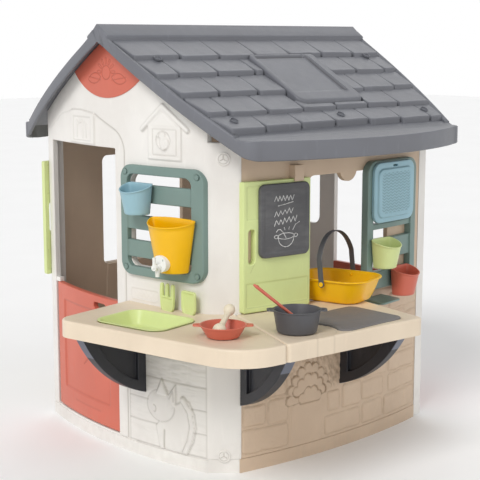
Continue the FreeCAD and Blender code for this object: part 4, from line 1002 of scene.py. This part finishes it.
def g_trellis_shape(u, v):
    ring = np.maximum(sd_box(u, v, G_TRELLIS, 42), -sd_box(u, v, GABLE_WINDOW, 24))
    return np.min([ring] + [sd_box(u, v, (-352, -82, z0, z1), 2) for z0, z1 in G_SLATS], 0)


def g_trellis_height(u, v):
    face = Relief(u, v, 17.9, 0.14, 60, 65)
    hole = sd_box(u, v, GABLE_WINDOW, 24)
    face.press(hole + 1.5, 4.0, 3.5)
    face.shade(np.abs(hole + 1.5) - 0.5, 0.5, 5)
    for cu, cv in ((-364, 594), (-84, 594), (-84, 884), (-364, 884)):
        seat = sd_disc(u, v, cu, cv, 9.5)
        face.press(seat, 2.6, 2.5)
        face.shade(np.abs(seat) - 0.8, 0.8, 2.4)
    return face.done()


def k_trellis_inner(u, v):
    x0, x1, z0, z1 = K_TRELLIS
    return sd_box(u, v, (x0 + 30, x1 - 30, z0 - 90, z1 - 30), 22)


def k_trellis_shape(u, v):
    x0, x1, z0, z1 = K_TRELLIS
    outer = np.maximum(sd_box(u, v, (x0, x1, z0 - 90, z1), 40), z0 - v)
    ring = np.maximum(outer, -k_trellis_inner(u, v))
    return np.min([ring] + [sd_box(u, v, (x0 + 22, x1 - 22, s0, s1), 1.5)
                            for s0, s1 in K_SLATS], 0)


def k_trellis_height(u, v):
    face = Relief(u, v, 25.9, 0.14, 60, 66)
    edge = k_trellis_inner(u, v) + 1.5
    face.press(edge, 5.0, 3.5)
    face.shade(np.abs(edge) - 0.5, 0.5, 5)
    return face.done()


WASH_BOARD = (104, 322, 704, 895)


def wash_shape(u, v):
    sd = sd_box(u, v, WASH_BOARD, 32)
    return np.maximum(sd, -sd_box(u, v, (201, 225, 880.5, 885.5), 2.4))


def wash_height(u, v):
    face = Relief(u, v, 37.2, 0.15, 60, 67)
    step_edge = sd_box(u, v, (122, 305, 721, 874), 24)
    field = bump(sd_box(u, v, (138, 290, 734, 862), 14), 3)
    zigzag = np.abs((u - 138) % 22 - 11) * 0.55
    ridge = 0.5 + 0.5 * np.cos((v - zigzag) * 2 * math.pi / 9.2)
    face.press(step_edge, -4.6, 4)
    face.shade(np.abs(step_edge - 1.5) - 0.8, 0.5, 4)
    face.h += field * (2.0 * ridge - 1.6)
    # Painted shade in the troughs between the ridges.
    face.painted_shade += 0.75 * field * (1 - ridge) ** 2
    return face.done()


def shutter_slot(u, v, left):
    return sd_box(u, v, (left + 17, left + 40, 631, 733), 11)


def shutter_shape(left, right):
    def shape(u, v):
        return np.maximum(sd_box(u, v, (left, right, 487.5, 872), 5), -shutter_slot(u, v, left))
    return shape


def shutter_height(left, right):
    def height(u, v):
        face = Relief(u, v, 18.9, 0.14, 60, 68)
        for box, depth in (((left + 12, left + 60, 762, 858), 1.5),
                           ((left + 10, right - 8, 503, 574), 1.3)):
            panel = sd_box(u, v, box, 3)
            face.press(panel, depth, 2.4)
            face.shade(np.abs(panel) - 0.7, 0.6, 2.6)
        face.press(sd_line(u, v, [(left + 24, 606), (left + 38, 632)], 0.9), 0.7, 2, 0.5, 2)
        face.press(np.abs(shutter_slot(u, v, left) - 3.5) - 1.0, -0.8, 3)
        return face.done()
    return height


def boards_and_doors():
    for node, wrap in (("gable_plate_front", on_gable), ("gable_plate_rear", turned(on_gable))):
        sheet(node + "_fine", (-200, 200, 1096, 1266), 2.0, plate_shape, plate_height, wrap, CORAL,
              node, base=0.3, round_to=1.4, flip=True)
    for node, wrap in (("half_door_front", on_gable), ("half_door_rear", turned(on_gable))):
        sheet(node + "_fine", (-18, 386, 47, 471), 4.0, door_shape, door_height, wrap, CORAL,
              node, base=-19.8, round_to=3.0, flip=True, back=True)
    sheet("trellis_gable_fine", G_TRELLIS, 3.0, g_trellis_shape, g_trellis_height, on_gable, SAGE,
          "trellis_gable", base=0.4, round_to=2.6, flip=True, back=True)
    sheet("trellis_kitchen_fine", K_TRELLIS, 3.0, k_trellis_shape, k_trellis_height, on_eave, SAGE,
          "trellis_kitchen", base=0.4, round_to=2.6, back=True)
    sheet("wash_board_fine", WASH_BOARD, 1.7, wash_shape, wash_height, on_eave, SKY,
          "wash_board", base=27.0, round_to=3.4, back=True)

    def mirrored(u, v, h):
        x, y, z = on_eave(u, v, h)
        return x, -y, z
    for node, left, step, place in (("shutter_front", -404.0, 2.6, on_eave),
                                    ("shutter_back", -478.0, 3.4, mirrored)):
        sheet(node + "_fine", (left, left + 244, 487, 872), step,
              shutter_shape(left, left + 244), shutter_height(left, left + 244), place, LIME,
              node, base=1.1, round_to=2.6, back=True, flip=place is mirrored)

    def board_height(u, v):
        face = Relief(u, v, 30.0)
        writing = sd_box(u, v, (-340, -187, 660, 848), 6)
        face.press(writing, 1.6, 2.6)
        face.shade(np.abs(writing) - 0.8, 0.5, 3)
        return face.done()
    board = (-354, -173, 646, 862)
    sheet("blackboard_fine", board, 2.2, lambda u, v: sd_box(u, v, board, 20), board_height,
          on_eave, BOARD_FACE, "blackboard", base=19.4, round_to=3.0, back=True)
    strokes = chalk_strokes()

    def drawn(u, v):
        marks = [sd_line(u, v, line, r) for line, r in strokes]
        return np.min(marks, 0) + 0.35 * lattice(u, v, 2.6, 71)
    sheet("chalk_drawing", (-320, -205, 662, 842), 0.8, drawn,
          lambda u, v: np.full(len(u), 28.75), on_eave, CHALK, "blackboard", base=28.3,
          round_to=0.25, replace=False, rings=1)


def chalk_strokes():
    """A pot with a spoon and steam under rows of scribble."""
    rows = []
    wave = [(-305 + 6.5 * k, 818 + (7.5 if k % 2 else -7.0)) for k in range(12)]
    rows.append((wave, 1.15))
    rows.append(([(-292, 797), (-262, 801), (-236, 806)], 1.0))
    for base, count, seed in ((772, 10, 5), (746, 12, 6)):
        rng = np.random.default_rng(seed)
        line = []
        for k in range(count):
            lift = 8.0 if k % 2 else -7.0
            line.append((-305 + 7.6 * k + rng.uniform(-1, 1), base + 0.13 * 7.6 * k
                         + lift + rng.uniform(-1.5, 1.5)))
        rows.append((line, 1.15))
    rows.append((arc_points(-262, 706, 30, 9, 0, 360, 26), 1.05))
    rows.append((arc_points(-262, 704, 29, 30, 180, 360, 18), 1.1))
    rows.append((arc_points(-298, 706, 7, 5, 0, 360, 12), 1.0))
    rows.append((arc_points(-226, 706, 7, 5, 0, 360, 12), 1.0))
    rows.append(([(-262, 700), (-272, 716), (-283, 727), (-292, 727), (-297, 721)], 1.3))
    rows += [([(-252, 724), (-250, 733)], 0.9), ([(-238, 722), (-226, 740)], 0.9),
             ([(-266, 724), (-270, 732)], 0.9), ([(-226, 738), (-212, 745)], 0.9)]
    return rows


# ---- worktops --------------------------------------------------------------------------
FASCIA = 435.0
SEAM_INNER, SEAM_OUTER = (-412.0, -435.0), (-557.0, -797.8)
HOB = (-413.0, -725.0)
COLANDER = (-620.0, -617.0)
BOARD_BOX = (-335.0, -86.0, -803.0, -598.0)
SINK = (-653.0, -324.0)
SINK_HALF = (95.0, 125.0)
SINK_TURN = math.radians(10.4)
TOOL_PLACES = ((float(gable_x(-262.0, 21.0)), -262.0), (float(gable_x(-340.0, 21.0)), -340.0))
LEFT_TOP = rounded_outline([(-480, -65), (-832, -132, 50), (-707, -785, 140), SEAM_OUTER,
                            SEAM_INNER, (-380, -380)], 10)
RIGHT_TOP = rounded_outline([(-411, -435), (-556, -797.8), (-44, -842, 25), (32, -420)], 10)


def sd_house(x, y):
    """Distance to the outside of the house walls, in plan."""
    post = POST_RUN[1] * (x - POST_A[0]) - POST_RUN[0] * (y - POST_A[1])
    return np.max([gable_x(y) - x, eave_y(x) - y, post], 0)


def sd_sink(x, y, grow=0.0):
    c, s = math.cos(SINK_TURN), math.sin(SINK_TURN)
    dx, dy = x - SINK[0], y - SINK[1]
    u, v = dx * c + dy * s, -dx * s + dy * c
    a, b = SINK_HALF
    return sd_box(u, v, (-a, a, -b, b), 46) - grow


def sd_mat(x, y, grow=0.0):
    return np.maximum(sd_box(x, y, BOARD_BOX, 26) - grow, 93 - grow - np.hypot(x - HOB[0],
                                                                              y - HOB[1]))


def worktop_sheet(node, outline, fine_shape, fine_height):
    """Rounded top over a fascia, hollow from below."""
    def edge(u, v):
        return np.maximum(sd_poly(u, v, outline), 0.6 - sd_house(u, v))

    def height(u, v):
        face = Relief(u, v, 484.9 - 1.1 * smooth((-edge(u, v) - 14) / 30), 0.25, 55, 81)
        fine_height(u, v, face)
        return face.done()

    us, vs = [p[0] for p in outline], [p[1] for p in outline]
    sheet(node + "_fine", (min(us), max(us), min(vs), max(vs)), 3.0,
          lambda u, v: fine_shape(u, v, edge(u, v)), height, on_top, BEIGE, node, base=FASCIA,
          back=lambda u, v: np.where(sd_poly(u, v, outline) > -12, FASCIA, 473.0),
          round_to=6.0, rings=5)


def worktops():
    def left_height(u, v, face):
        for x, y in TOOL_PLACES:
            slot = sd_box(u, v, (x - 9, x + 1, y - 26, y + 26), 2)
            face.press(slot, 8.5, 2.0, 0.8, 3)
        face.press(np.abs(sd_disc(u, v, *COLANDER, 71)) - 2.0, -0.5, 5)
        face.shade(np.abs(sd_sink(u, v, 1.0)) - 1.2, 0.5, 4)

    def right_height(u, v, face):
        mat = sd_mat(u, v, 1.2)
        hob = sd_disc(u, v, *HOB, 84)
        face.press(mat, 5.6, 1.6)
        face.press(hob, 2.0, 2.5)
        face.press(np.abs(hob + 3.5) - 1.0, -1.4, 3)
        face.press(np.abs(hob + 38) - 0.8, -0.7, 3)
        face.shade(np.abs(hob - 0.5) - 0.6, 0.45, 3)
        face.shade(np.abs(mat) - 0.8, 0.6, 3)

    worktop_sheet("worktop_left", LEFT_TOP,
                  lambda u, v, sd: np.maximum(sd, -sd_sink(u, v, -7.0) + 5.0), left_height)
    worktop_sheet("worktop_right", RIGHT_TOP, lambda u, v, sd: sd, right_height)
    # The cutting mat's groove ring carries painted shade.
    sheet("cutting_board_fine", BOARD_BOX, 3.0, sd_mat,
          lambda u, v: (487.7 - 1.0 * bump(np.abs(sd_mat(u, v) + 13) - 1.2, 3)
                        + 0.25 * lattice(u, v, 5, 83), 0.3 * bump(np.abs(sd_mat(u, v) + 13), 4)),
          on_top, MAT_GREY, "cutting_board", base=479.4, round_to=2.4, back=True)


def box_loop(centre, turn, half_x, half_y, corner, z, steps):
    """Loop of a rounded box in plan, turned about its centre."""
    c, s = math.cos(turn), math.sin(turn)
    corners = rounded_outline([(-half_x, -half_y, corner), (half_x, -half_y, corner),
                               (half_x, half_y, corner), (-half_x, half_y, corner)], steps)
    return [(centre[0] + u * c - v * s, centre[1] + u * s + v * c, z) for u, v in corners]


def sink():
    profile = [(-40, 443), (-26, 443), (-22.2, 447), (-7.8, 484), (-1.0, 485.3), (0, 486.2),
               (-0.4, 487.2), (-1.6, 487.5), (-5.0, 487.5), (-6.6, 487.0), (-7.6, 485.6)]
    for t in np.linspace(0.08, 0.86, 8):
        profile.append((-7.6 - 17.4 * t, 485.6 - 39.6 * t))
    profile += [(-24.2, 449.2), (-27, 446.9), (-31, 446.1), (-52, 445.8)]
    loops = [box_loop(SINK, SINK_TURN, SINK_HALF[0] + grow, SINK_HALF[1] + grow,
                      max(4.0, 46.0 + grow), z, 14) for grow, z in profile]
    loft("sink_fine", loops, LIME, "sink_basin")


def brackets():
    for node, foot, heading in (
            ("bracket_left", (gable_x(-131.0, 1.2), -131.0), math.pi + math.asin(131 / GABLE_R)),
            ("bracket_middle", (-385.0, eave_y(-385.0, 1.2)),
             1.5 * math.pi - math.asin(385 / EAVE_R)),
            ("bracket_right", (5.0, eave_y(5.0, 1.2)), 1.5 * math.pi + math.asin(5 / EAVE_R))):
        item = finished(node, INK, width=2.4, segments=3, angle=30)
        # Painted highlight: the curved, downward-facing rim faces get the lighter blue-grey
        # material.
        item.data.materials.append(RIM_PAINTED_HIGHLIGHT)
        along = np.array((math.cos(heading), math.sin(heading)))
        for face in item.data.polygons:
            spot = np.array(face.center) * 1000 - SHIFT
            reach = (spot[:2] - foot) @ along
            normal = np.array(face.normal)
            out = normal[:2] @ along
            bowed = math.hypot(reach - 2, (spot[2] - 440)) > 225
            if bowed and out > 0.2 and normal[2] < -0.05:
                face.material_index = 1


# ---- hanging cups and tank -------------------------------------------------------------
def cup_outline(width, depth, count=72):
    """Softened half-round plan with a flat back at x = 0."""
    half = width / 2
    radius = (half * half + depth * depth) / (2 * depth)
    start = math.asin(min(1.0, half / radius))
    if depth > half:
        start = math.pi - start
    arc = [(radius - depth - radius * math.cos(t), radius * math.sin(t))
           for t in np.linspace(-start, start, 120)]
    chord = [(0.0, half - width * t) for t in np.linspace(0, 1, 60)[1:-1]]
    line = np.array(arc + chord)
    for _ in range(30):
        line = 0.5 * line + 0.25 * (np.roll(line, 1, 0) + np.roll(line, -1, 0))
    steps = np.hypot(*(np.roll(line, -1, 0) - line).T)
    marks = np.concatenate([[0], np.cumsum(steps)])
    closed = np.concatenate([line, line[:1]])
    wanted = np.linspace(0, marks[-1], count, endpoint=False)
    return np.stack([np.interp(wanted, marks, closed[:, 0]), np.interp(wanted, marks,
                                                                       closed[:, 1])], 1)


def cup(node, width, depth, height, rise, foot, place, material, wall=2.6, wave=0.0):
    """Cup with a rolled lip that falls from its back to its front."""
    plan = cup_outline(width, depth)
    ahead = np.roll(plan, -1, 0) - np.roll(plan, 1, 0)
    normal = np.stack([ahead[:, 1], -ahead[:, 0]], 1)
    normal /= np.linalg.norm(normal, axis=1)[:, None]
    if (normal * plan).sum() < 0:
        normal = -normal
    lip = smooth(-plan[:, 0] / 16)
    total = height + rise
    edge = total + rise / depth * plan[:, 0] + wave * np.cos(plan[:, 1] / width * 2 * math.pi)
    stations = [(0.0, -9.0), (0.0, -5.0)]
    stations += [(4.5 * (1 - math.cos(a)), -4.5 * (1 - math.sin(a)))
                 for a in np.linspace(0.15, math.pi / 2, 5)]
    loops = []

    def ring(z, off):
        scale = foot + (1 - foot) * z / total
        spots = plan * scale[:, None] + normal * off[:, None]
        spots[:, 0] = np.minimum(spots[:, 0], 0.0)
        loops.append([place(x, y, h) for (x, y), h in zip(spots, z)])

    flat = np.ones(len(plan))
    for z, off in stations:
        ring(flat * z, flat * off)
    for t in np.linspace(0.1, 0.92, 9):
        ring(4.5 + (edge - 9.0) * t, flat * 0)
    for drop, out in ((5.0, 0.0), (4.0, 1.2), (3.2, 1.8), (1.2, 1.9), (0.3, 1.2), (0.0, 0.0)):
        ring(edge - drop, lip * out)
    for drop, out in ((0.0, -1.4), (0.4, -2.2), (1.4, -wall)):
        ring(edge - drop, flat * out)
    for t in np.linspace(0.92, 0.1, 9):
        ring(wall + 4.0 + (edge - 9.0 - wall) * t, flat * -wall)
    for z, off in ((wall + 3.4, -wall), (wall + 1.4, -wall - 1.0), (wall + 0.3, -wall - 3.0),
                   (wall, -wall - 7.0)):
        ring(flat * z, flat * off)
    loft(node + "_fine", loops, material, node)
    hook = width * 0.3
    for name, box in (("bridge", (-2.0, 16.4, -hook, hook, total - 6, total - 2)),
                      ("tongue", (14.0, 16.4, -hook, hook, total - 14, total - 3))):
        brick(node + "_" + name, box, place, material, node, 0.9)


def on_face(x0, y0, lean, base):
    """Frame of a hung piece: x out of the wall from the spot, z up from base."""
    c, s = math.cos(lean), math.sin(lean)
    return lambda x, y, z: (x0 + x * c - y * s, y0 + x * s + y * c, base + z)


def gable_place(y0, out, base):
    return on_face(float(gable_x(y0, out)), y0, -math.asin(y0 / GABLE_R), base)


def eave_place(x0, out, base):
    return on_face(x0, float(eave_y(x0, out)), math.pi / 2 + math.asin(x0 / EAVE_R), base)


def cups():
    cup("planter_blue", 100, 76, 70, 22, 0.74, gable_place(-158.0, 19, 763.5), SKY)
    cup("planter_green", 100, 76, 70, 22, 0.74, eave_place(148.5, 27, 563.5), LIME)
    cup("planter_red", 100, 76, 70, 22, 0.74, eave_place(252.0, 27, 461.5), CORAL)
    tank = gable_place(-286.0, 19, 603.5)
    cup("water_tank", 170, 80, 138, 20, 0.66, tank, YELLOW, wave=1.6)
    finished("tap_body", TAP_WHITE, width=1.0, segments=2)
    finished("tap_lever", TAP_WHITE, width=0.9, segments=2)
    # Painted shade: dark sage discs sit where the tap plate's two small holes are.
    for y, z in ((-13, 44), (14, 40)):
        x, yy, zz = tank(-71.6, y, z)
        lathe(f"tap_hole_shade_{z}", [(0, 0), (2.4, 0), (2.8, 0.5), (2.0, 0.9), (1.4, 0.5),
                                  (0, 0.4)], (x, yy, zz), SAGE, "tap_body", 24, replace=False,
              axis=(-1, 0.1, 0))


# ---- kitchen toys ----------------------------------------------------------------------
def ears(name, centre, radius, z, reach, half, material, node):
    """Two flat grips on a round rim, each with a shallow dish."""
    for side in (0, 1):
        turn = math.radians(-43.0 + 180 * side)
        c, s = math.cos(turn), math.sin(turn)

        def place(u, v, h, c=c, s=s):
            return centre[0] + u * c - v * s, centre[1] + u * s + v * c, z + h

        outline = rounded_outline([(radius - 3.5, -half), (radius + reach, -half * 0.72, 8),
                                   (radius + reach, half * 0.72, 8), (radius - 3.5, half)], 6)
        sheet(f"{name}_{side}", (radius - 3.5, radius + reach, -half, half), 1.3,
              lambda u, v: sd_poly(u, v, outline),
              lambda u, v: -0.1 - 1.0 * bump(sd_poly(u, v, outline) + 5, 3), place, material,
              node, base=-4.0, round_to=1.3, back=True, replace=False)


def lipped(wall, outer, inner):
    """Rounds a pot wall's outer and inner foot and leaves its lip alone."""
    return fillet(wall[:3], outer) + wall[3:8] + fillet(wall[7:], inner)[1:]


def pot():
    x, y = -429.0, -707.0
    bottom = 483.3
    wall = [(0, 0), (55, 0), (65, 60), (67.2, 61.2), (67.6, 63.0), (66.2, 64.2), (63.4, 64),
            (62.4, 62), (53, 5), (0, 2.5)]
    lathe("pot_fine", lipped(wall, 7, 9), (x, y, bottom), GRAPHITE, "cooking_pot", 96)
    ears("pot_ear", (x, y), 65, bottom + 64, 18, 20, GRAPHITE, "cooking_pot")


def colander():
    x, y = COLANDER
    bottom = ON_TOP
    wall = [(36, 0), (44, 0), (61, 30), (64.5, 31), (65.2, 33.0), (63.6, 34.1), (60.4, 33.4),
            (58.6, 31), (43, 4.5), (36, 2.4)]
    lathe("colander_fine", lipped(wall, 5, 6) + [(36, 0)], (x, y, bottom), CORAL, "colander", 96)

    def floor(u, v):
        sd = sd_disc(u, v, 0, 0, 38)
        for k in range(8):
            a = math.radians(45 * k)
            sd = np.maximum(sd, 5 - np.hypot(u - 27 * math.cos(a), v - 27 * math.sin(a)))
        return sd
    sheet("colander_floor", (-38, 38, -38, 38), 1.2, floor,
          lambda u, v: 2.45 + 0.4 * bump(np.abs(sd_disc(u, v, 0, 0, 13)) - 0.8, 2),
          lambda u, v, h: (x + u, y + v, bottom + h), CORAL, "colander", base=0.0,
          round_to=0.6, back=True, replace=False)
    ears("colander_ear", (x, y), 63, bottom + 34, 19, 15, CORAL, "colander")


def shaker():
    low = Vector((-646, -631, 509.5))
    high = Vector((-574, -591, 547))
    run = high - low
    length = run.length
    profile = [(0, -17.6), (6, -17.4), (11, -15.4), (15.4, -11), (18.2, -5.4), (19, 0),
               (18.3, 5), (15.8, 10.4), (12, 15.5), (9.6, 21), (8.4, 28), (8.0, 38), (8.2, 50),
               (8.8, length - 20), (10.8, length - 13.4), (14.0, length - 8), (15.8, length - 2),
               (15.9, length + 3), (14.6, length + 8), (12.6, length + 11.6),
               (10.4, length + 13.6), (8.0, length + 14.2), (6.0, length + 13.2),
               (0, length + 12.8)]
    lathe("shaker_fine", fillet(profile, 2.0, 3), tuple(low), SPECKLED, "shaker", 64,
          axis=tuple(run), sharp=60)


def ladle():
    start = Vector((-415, -713, 507))
    tip = Vector((-540, -652, 622))
    run = (tip - start).normalized()
    length = (tip - start).length
    across = run.cross(Vector((0, 0, 1))).normalized()
    lift = across.cross(run)
    marks = [0.0, 0.08, 0.2, 0.4, 0.6, 0.75, 0.86, 0.93, 0.97, 0.99, 1.0]
    wide = [9.4, 9.0, 8.8, 9.2, 10.0, 11.0, 11.8, 11.4, 10.0, 7.6, 1.8]
    deep = [6.0, 5.2, 4.6, 4.4, 4.6, 4.8, 4.8, 4.6, 4.0, 3.0, 1.0]
    loops = []
    for mark, a, b in zip(marks, wide, deep):
        point = start + run * (length * mark)
        loops.append([tuple(point + across * u + lift * v) for u, v in oval(a, b, 28, 2.6)])
    loft("ladle_handle", loops, CORAL, "ladle")
    dimple = tip - run * 12 + lift * 4.3
    lathe("ladle_eye", [(0, 0), (2.9, 0), (3.9, 0.3), (4.2, 0.9), (3.6, 1.2), (2.8, 0.8),
                        (0, 0.5)], tuple(dimple), CORAL, "ladle", 32, replace=False,
          axis=tuple(lift))
    bowl = [(0, -17), (6, -15.8), (11.5, -12.4), (15.4, -7), (17, 0), (17, 4), (16.2, 5.2),
            (15.2, 4.6), (14.9, 0), (13.4, -6), (9.8, -10.4), (5, -13.4), (0, -14.4)]
    lathe("ladle_bowl", bowl, tuple(start), CORAL, "ladle", 64, replace=False)


BASKET = (-34.0, -494.0)
BASKET_TURN = math.radians(-75.0)


def basket_loop(scale, off, z):
    return box_loop(BASKET, BASKET_TURN, 122.0 * scale + off, 95.0 * scale + off,
                    max(8.0, 62.0 * scale + off), z, 16)


def basket():
    bottom, tall, wall = ON_TOP, 74.0, 3.0
    loops = [basket_loop(0.76, -30, bottom), basket_loop(0.76, -10, bottom)]
    for a in np.linspace(0.25, math.pi / 2, 6):
        t = 9 * (1 - math.cos(a)) / tall
        loops.append(basket_loop(0.76 + 0.24 * t, -9 * (1 - math.sin(a)), bottom + t * tall))

    def side(t):
        return 2.2 * math.sin(math.pi * t)
    for t in np.linspace(0.2, 0.9, 10):
        loops.append(basket_loop(0.76 + 0.24 * t, side(t), bottom + tall * t))
    lip = [(66.0, 0.6), (67.6, 2.4), (68.2, 5.2), (69.0, 6.0), (71.6, 6.2), (73.2, 5.0),
           (73.9, 3.2), (74.0, 1.0), (73.4, -1.2), (72.0, -wall)]
    for z, off in lip:
        loops.append(basket_loop(0.76 + 0.24 * z / tall, off, bottom + z))
    for t in np.linspace(0.9, 0.16, 11):
        loops.append(basket_loop(0.76 + 0.24 * t, side(t) - wall, bottom + tall * t))
    for z, off in ((8.0, -wall - 0.8), (5.0, -wall - 2.8), (3.6, -wall - 6), (3.0, -wall - 12),
                   (3.0, -34)):
        loops.append(basket_loop(0.76 + 0.24 * z / tall, off, bottom + z))
    loft("basket_fine", loops, YELLOW, "basket")
    finished("basket_pins", YELLOW, width=0.8)
    bail()


def bail():
    """Strap hoop with a pad round each pin."""
    cross = Vector((-math.sin(BASKET_TURN), math.cos(BASKET_TURN), 0))
    long_way = Vector((math.cos(BASKET_TURN), math.sin(BASKET_TURN), 0))
    lean = math.radians(-6.0)
    upward = Vector((0, 0, 1)) * math.cos(lean) + long_way * math.sin(lean)
    flat = long_way * math.cos(lean) - Vector((0, 0, 1)) * math.sin(lean)
    centre = Vector((BASKET[0], BASKET[1], 547.0))
    half, rise = 105.5, 148.0
    shoulder = rise * 0.52
    top = rise - shoulder + 1.5
    radius = (half * half + top * top) / (2 * top)
    spread = math.asin(min(1.0, half / radius))
    if top > half:
        spread = math.pi - spread
    path = [(-half, h) for h in np.linspace(0, shoulder, 8)[:-1]]
    path += [(radius * math.sin(t), shoulder + top - radius + radius * math.cos(t))
             for t in np.linspace(-spread, spread, 41)]
    path += [(half, h) for h in np.linspace(shoulder, 0, 8)[1:]]
    points = [centre + cross * a + upward * b for a, b in path]
    tube("bail_fine", points, oval(1.5, 8.4, 24, 5.0), GRAPHITE, "basket_handle", up=tuple(flat))
    for side in (-1, 1):
        pad = centre + cross * (side * 104.0)
        lathe(f"bail_pad_{side + 1}", [(4.1, 0), (9.4, 0), (10.0, 0.6), (10.0, 2.4), (9.2, 3.0),
                                       (4.8, 3.0), (4.1, 2.4), (4.1, 0)], tuple(pad), GRAPHITE,
              "basket_handle", 48, replace=False, axis=tuple(cross * side))


# ---- garden tools, shelf, screws and pins ----------------------------------------------
def tools():
    def fork(u, v):
        palm = sd_poly(u, v, rounded_outline([(-20, 0), (20, 0), (28, 16, 8), (31, 50), (31, 60),
                                              (-31, 60), (-31, 50), (-28, 16, 8)], 6))
        palm = np.maximum(palm, v - 50)
        sd = palm
        for y in (-24.5, 0.0, 24.5):
            sd = np.minimum(sd, sd_line(u, v, [(y, 46), (y, 81.6)], 6.4))
        return sd

    def fork_height(u, v):
        sd = fork(u, v)
        return 7.9 - 2.6 * bump(sd + 6, 5) - 1.6 * smooth((v - 62) / 26)

    def trowel(u, v):
        return sd_poly(u, v, TROWEL)

    def trowel_height(u, v):
        sd = trowel(u, v)
        return 7.9 - 3.6 * bump(sd + 6.5, 6) * smooth((78 - v) / 40 + 0.3)

    for node, spot, shape, height, reach, tall in (
            ("garden_fork", TOOL_PLACES[0], fork, fork_height, 31, 88),
            ("garden_trowel", TOOL_PLACES[1], trowel, trowel_height, 30, 74)):
        def place(u, v, h, spot=spot):
            return spot[0] - h, spot[1] + u, 476.5 + v
        sheet(node + "_fine", (-reach, reach, 0, tall), 1.4, shape, height, place, LIME, node,
              base=0.0, round_to=1.8, back=True, flip=True)


TROWEL = rounded_outline([(-20, 0), (20, 0), (30, 20, 14), (30, 74, 9), (-30, 74, 9),
                          (-30, 20, 14)], 8)


def screw_head(u, v):
    """Round screw cover with a three-way mark."""
    r = np.hypot(u, v)
    arms = [[(0, 0), point] for point in arc_points(0, 0, 10.5, 10.5, 90, 330, 3)]
    face = Relief(u, v, 5.9)
    face.press(np.abs(r - 14.2) - 0.7, 1.8, 2.2, 0.8, 2.4)
    face.press(np.min([sd_line(u, v, arm, 1.2) for arm in arms], 0), 1.6, 1.8, 0.8, 2.2)
    face.press(r - 17, -0.5, 3)
    return face.done()


def screws_and_pins():
    (x, y), (run_x, run_y) = (POST_A + POST_B) / 2, POST_RUN
    for z in (53.0, 938.0):
        def on_post(u, v, h, z=z):
            return x + run_x * u + run_y * h, y + run_y * u - run_x * h, z + v
        for side, place in enumerate((on_post, turned(on_post))):
            sheet(f"post_screw_{int(z)}_{side}", (-20, 20, -20, 20), 1.1,
                  lambda u, v: sd_disc(u, v, 0, 0, 20), screw_head, place, WHITE,
                  "corner_screws", base=0.2, round_to=1.6)
    finished("trellis_screws", SAGE, width=0.7)
    for node in ("hinge_pins_front", "hinge_pins_rear"):
        finished(node, WHITE, width=0.8)
    finished("sill_shelf", SAGE, width=1.8, segments=3)


gable_panels()
kitchen_panels()
roofs()
boards_and_doors()
worktops()
sink()
brackets()
cups()
pot()
colander()
shaker()
ladle()
basket()
tools()
screws_and_pins()


# ---- floor, light and camera -----------------------------------------------------------
def studio():
    bpy.ops.mesh.primitive_plane_add(size=40, location=(0, 0, 0))
    floor = bpy.context.object
    floor.name = "studio_floor"
    look = Finish("studio_floor")
    base = look.mix(look.noise(2.0, 2.0), rgb(0.90, 0.90, 0.90), rgb(0.94, 0.94, 0.94))
    floor.data.materials.append(look.set(Base_Color=base, Roughness=0.9))
    sky = Finish("studio", bpy.data.worlds, "Background", "Generated")
    bpy.context.scene.world = sky.set(Color=rgb(1.0, 1.0, 1.0),
                                      Strength=sky.height().spread(0.04, 0.45, 1.0, 0.50))
    lamps = (("key", (-3.4, -1.1, 3.2), 1.55, 22), ("fill", (0.6, -3.4, 2.2), 0.30, 50),
             ("back", (2.6, 2.2, 3.0), 0.45, 40))
    for name, place, power, angle in lamps:
        data = bpy.data.lights.new(name, "SUN")
        data.energy, data.angle = power, math.radians(angle)
        lamp = bpy.data.objects.new(name, data)
        bpy.context.scene.collection.objects.link(lamp)
        lamp.location = place
        lamp.rotation_euler = (-Vector(place)).to_track_quat("-Z", "Y").to_euler()
    data = bpy.data.cameras.new("camera")
    data.lens, data.sensor_width = 91.04, 36.0
    camera = bpy.data.objects.new("camera", data)
    bpy.context.scene.collection.objects.link(camera)
    camera.location = (-2.6236, -2.8926, 1.2747)
    camera.rotation_euler = (math.radians(80.615), 0, math.radians(-42.844))
    bpy.context.scene.camera = camera


studio()
bpy.context.scene.view_settings.view_transform = "Standard"
